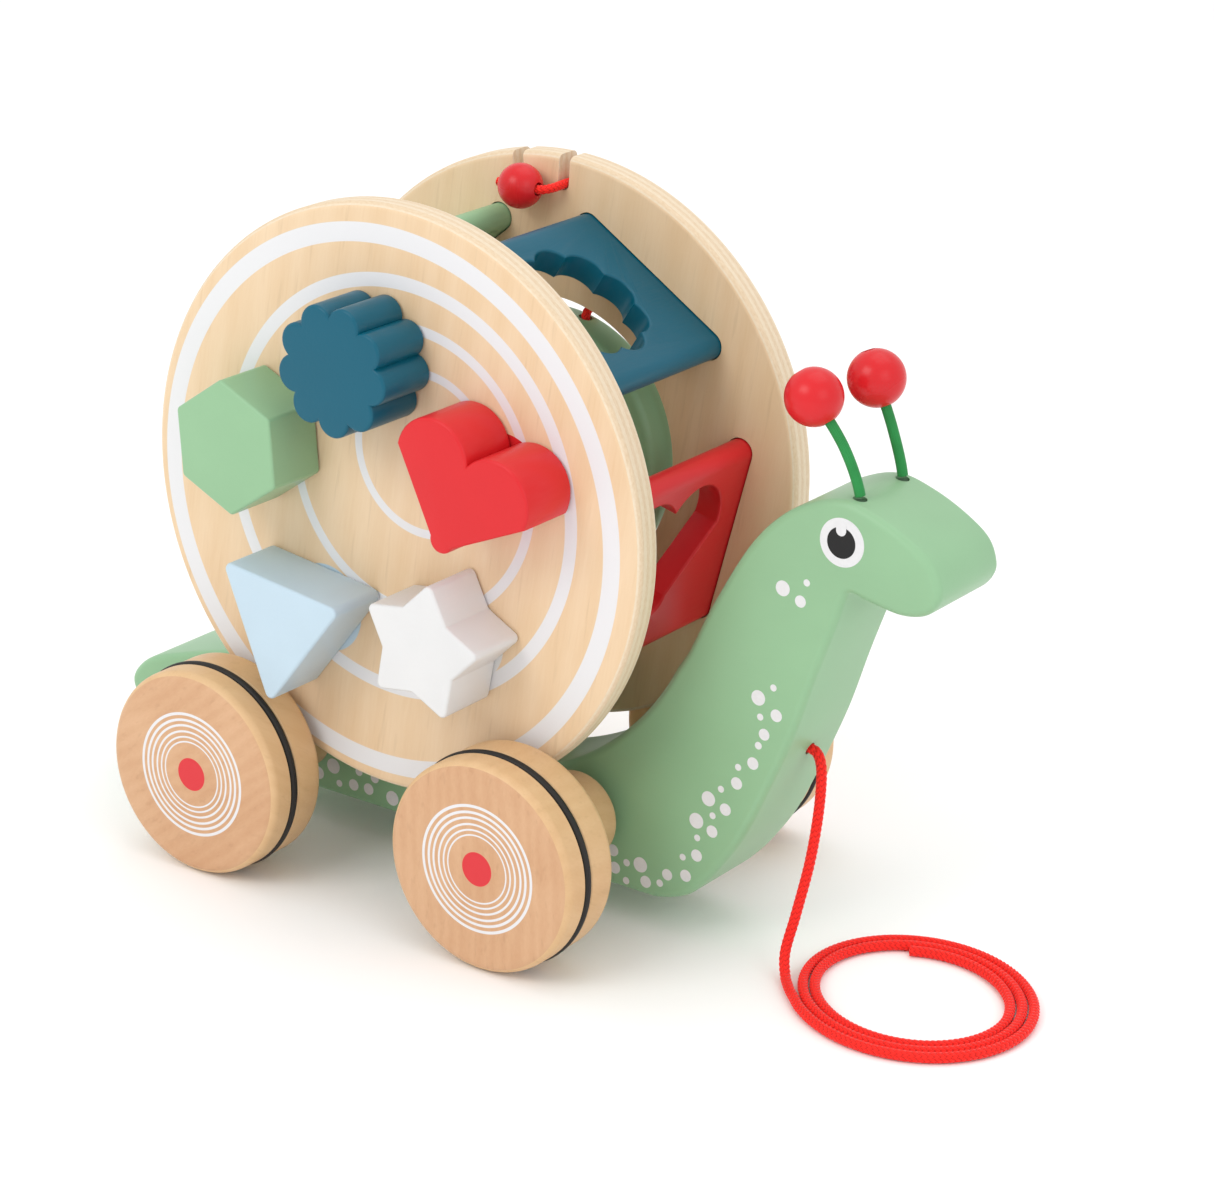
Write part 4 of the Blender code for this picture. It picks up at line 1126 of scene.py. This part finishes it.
# ---- lid, beads and antennae
LID_HOLE_X = 9.5 * MM
LID_HOLE_Y = 36.3 * MM
NOTCH_ANGLE = pi / 2 + DRUM_TURN - RIM_SLOT_ANGLE
NOTCH_RADIUS = RIM_SLOT_BOTTOM + LID_CORD / 2 + 0.3 * MM
NOTCH = Vector((NOTCH_RADIUS * cos(NOTCH_ANGLE), DRUM_Z + NOTCH_RADIUS * sin(NOTCH_ANGLE)))
LID_HINGE_Y = DISC_OUTER_Y + LID_CORD / 2 + 0.2 * MM


def make_lid():
    low, high = span("lid")
    radius = (high.z - low.z) / 2
    z = (high.z + low.z) / 2 - ORIGIN.z
    edge = 2.2 * MM
    profile = [(low.y, 0), (low.y, radius - edge)]
    profile += round_edge((low.y, radius), (low.y, radius - edge), (low.y + edge, radius), 7)[1:]
    profile += round_edge((high.y, radius), (high.y - edge, radius), (high.y, radius - edge), 7)
    profile += [(high.y, 0)]
    lid = turned("turned_lid", profile, 0, z, [painted_wood("lid_paint", GREEN)], 160)
    top = z + sqrt(radius ** 2 - LID_HOLE_X ** 2)
    carve(lid, [rod("bore", (LID_HOLE_X, LID_HOLE_Y, top + 4 * MM), (LID_HOLE_X, LID_HOLE_Y, top - 12 * MM),
                    LID_CORD / 2 + 0.6 * MM)])
    sharpen(lid, 30)
    hand_over(lid, "lid_on_cord", "green_paint", "lid")
    make_lid_cord(top)


def make_lid_cord(top):
    outside = LID_HINGE_Y
    middle = LID_HOLE_Y
    lip = DRUM_Z + sqrt(LID_OPENING ** 2 - LID_HOLE_X ** 2)
    hanging = [
        (NOTCH.x, outside - 2.0 * MM, NOTCH.y + 3.0 * MM),
        (NOTCH.x, outside, NOTCH.y - LID_CORD / 2 - 0.3 * MM),
        (NOTCH.x + 0.8 * MM, outside + 0.1 * MM, NOTCH.y - 11.0 * MM),
        (NOTCH.x + 4.2 * MM, outside + 0.2 * MM, NOTCH.y - 23.0 * MM),
    ]
    tucked = [
        (LID_HOLE_X - 0.4 * MM, outside + 0.2 * MM, lip + 1.8 * MM),
        (LID_HOLE_X, outside - 0.5 * MM, lip - 1.1 * MM),
        (LID_HOLE_X, outside - 3.2 * MM, lip - 1.9 * MM),
        (LID_HOLE_X, middle + 2.3 * MM, lip - 1.9 * MM),
        (LID_HOLE_X, middle + 0.6 * MM, lip - 3.0 * MM),
        (LID_HOLE_X, middle, top - 1.2 * MM),
        (LID_HOLE_X, middle, top - 10.5 * MM),
        (LID_HOLE_X, middle, top - 16.0 * MM),
    ]
    wool = yarn("lid_yarn", CORD_RED, 1.1 * MM)
    make_lid_yarn("lid_cord", "lid_on_cord", hanging + tucked, wool)
    radius = 6.6 * MM
    centre = Vector((NOTCH.x - 10.1 * MM, DISC_INNER_Y - radius - 0.3 * MM, NOTCH.y - 0.8 * MM))
    inside = [
        (centre.x - radius - 6.0 * MM, centre.y, centre.z),
        (centre.x - radius - 1.4 * MM, centre.y, centre.z),
        tuple(centre),
        (centre.x + radius + 0.4 * MM, centre.y, centre.z),
        (NOTCH.x - 0.7 * MM, DISC_INNER_Y - 4.4 * MM, NOTCH.y - 0.4 * MM),
        (NOTCH.x, DISC_INNER_Y - 0.2 * MM, NOTCH.y),
        (NOTCH.x, DISC_INNER_Y + 4.0 * MM, NOTCH.y),
        (NOTCH.x, LID_HINGE_Y, NOTCH.y),
        (NOTCH.x, LID_HINGE_Y + 4.0 * MM, NOTCH.y),
    ]
    make_lid_yarn("lid_cord_end", "shell", inside, wool)
    bead("cord_bead", "lid_cord_bead", "shell", centre, radius, (1, 0, 0))


def make_lid_yarn(node, body, points, wool):
    route = [p + ORIGIN for p in smooth_curve(points, 12)]
    piece, _ = knitted_cord(node + "_knit", route, LID_CORD, wool, 6, 1.3 * MM)
    hand_over(piece, body, "red_cord", node)


def bead(name, node, body, centre, radius, axis):
    """Painted wooden ball, drilled through, with bare wood inside the bore."""
    axis = Vector(axis).normalized()
    work = bmesh.new()
    bmesh.ops.create_uvsphere(work, u_segments=64, v_segments=40, radius=radius)
    turn = axis.to_track_quat("Z", "Y").to_matrix().to_4x4()
    bmesh.ops.transform(work, matrix=Matrix.Translation(centre + ORIGIN) @ turn, verts=work.verts)
    ball = from_work(name, work, [painted_wood(name + "_paint", RED, (0, 0, 1), 0.27, 0.5)])
    reach = axis * radius * 1.3
    bare = lacquered_beech(name + "_bore", (0, 0, 0), 0.4, 0.85)
    carve(ball, [rod("bore", centre - reach, centre + reach, ANTENNA_CORD / 2 + 0.5 * MM, 32, [bare])])
    sharpen(ball, 30)
    hand_over(ball, body, "red_paint", node)


ANTENNA_BEADS = {"near": Vector((117.5, -12.0, 163.9)) * MM, "far": Vector((122.9, 10.5, 164.8)) * MM}
ANTENNA_BOW = {"near": Vector((2.0, 0, 0.9)) * MM, "far": Vector((0.9, 0, 0.3)) * MM}


def make_antennae():
    for side, sign in (("near", -1), ("far", 1)):
        foot = ANTENNA_FOOT + Vector((0, sign * ANTENNA_SPREAD, 0))
        mouth = foot + Vector((0, 0, 1.0 * MM))
        ball = ANTENNA_BEADS[side]
        low, high = span("antenna_bead_" + side)
        radius = (high.y - low.y) / 2
        lean = foot.lerp(ball, 0.5) + ANTENNA_BOW[side]
        into = (ball - lean).normalized()
        end = ball + into * radius * 0.55
        below = mouth - Vector((0, 0, 10 * MM))
        route = [p + ORIGIN for p in smooth_curve([below, mouth, lean, ball, end, end + into * 4 * MM], 12)]
        wool = yarn("green_yarn_" + side, CORD_GREEN, 0.8 * MM)
        stalk, _ = knitted_cord("antenna_knit_" + side, route, ANTENNA_CORD, wool, 14, 0.55 * MM, 0.07, 56,
                                0.14 * MM)
        hand_over(stalk, "antenna_" + side, "green_cord", "antenna_cord_" + side)
        repaint("antenna_root_" + side, wool)
        bead("antenna_ball_" + side, "antenna_bead_" + side, "antenna_" + side, ball, radius, into)


def dress_small_nodes():
    """Magnets and the plugs that cover them."""
    steel = plated_steel()
    plug = lacquered_beech("plug_wood", (0, 0.6, 0), 2.2, 1.0)
    for name in SHAPE_NAMES:
        repaint("disc_magnet_" + name, steel)
        repaint("block_magnet_" + name, steel)
        repaint("disc_plug_" + name, plug)


def main():
    make_camera()
    make_pull_cord()
    make_light()
    make_floor()
    make_body()
    make_prints()
    make_wheels()
    make_panels()
    make_discs()
    make_blocks()
    make_lid()
    make_antennae()
    dress_small_nodes()


main()
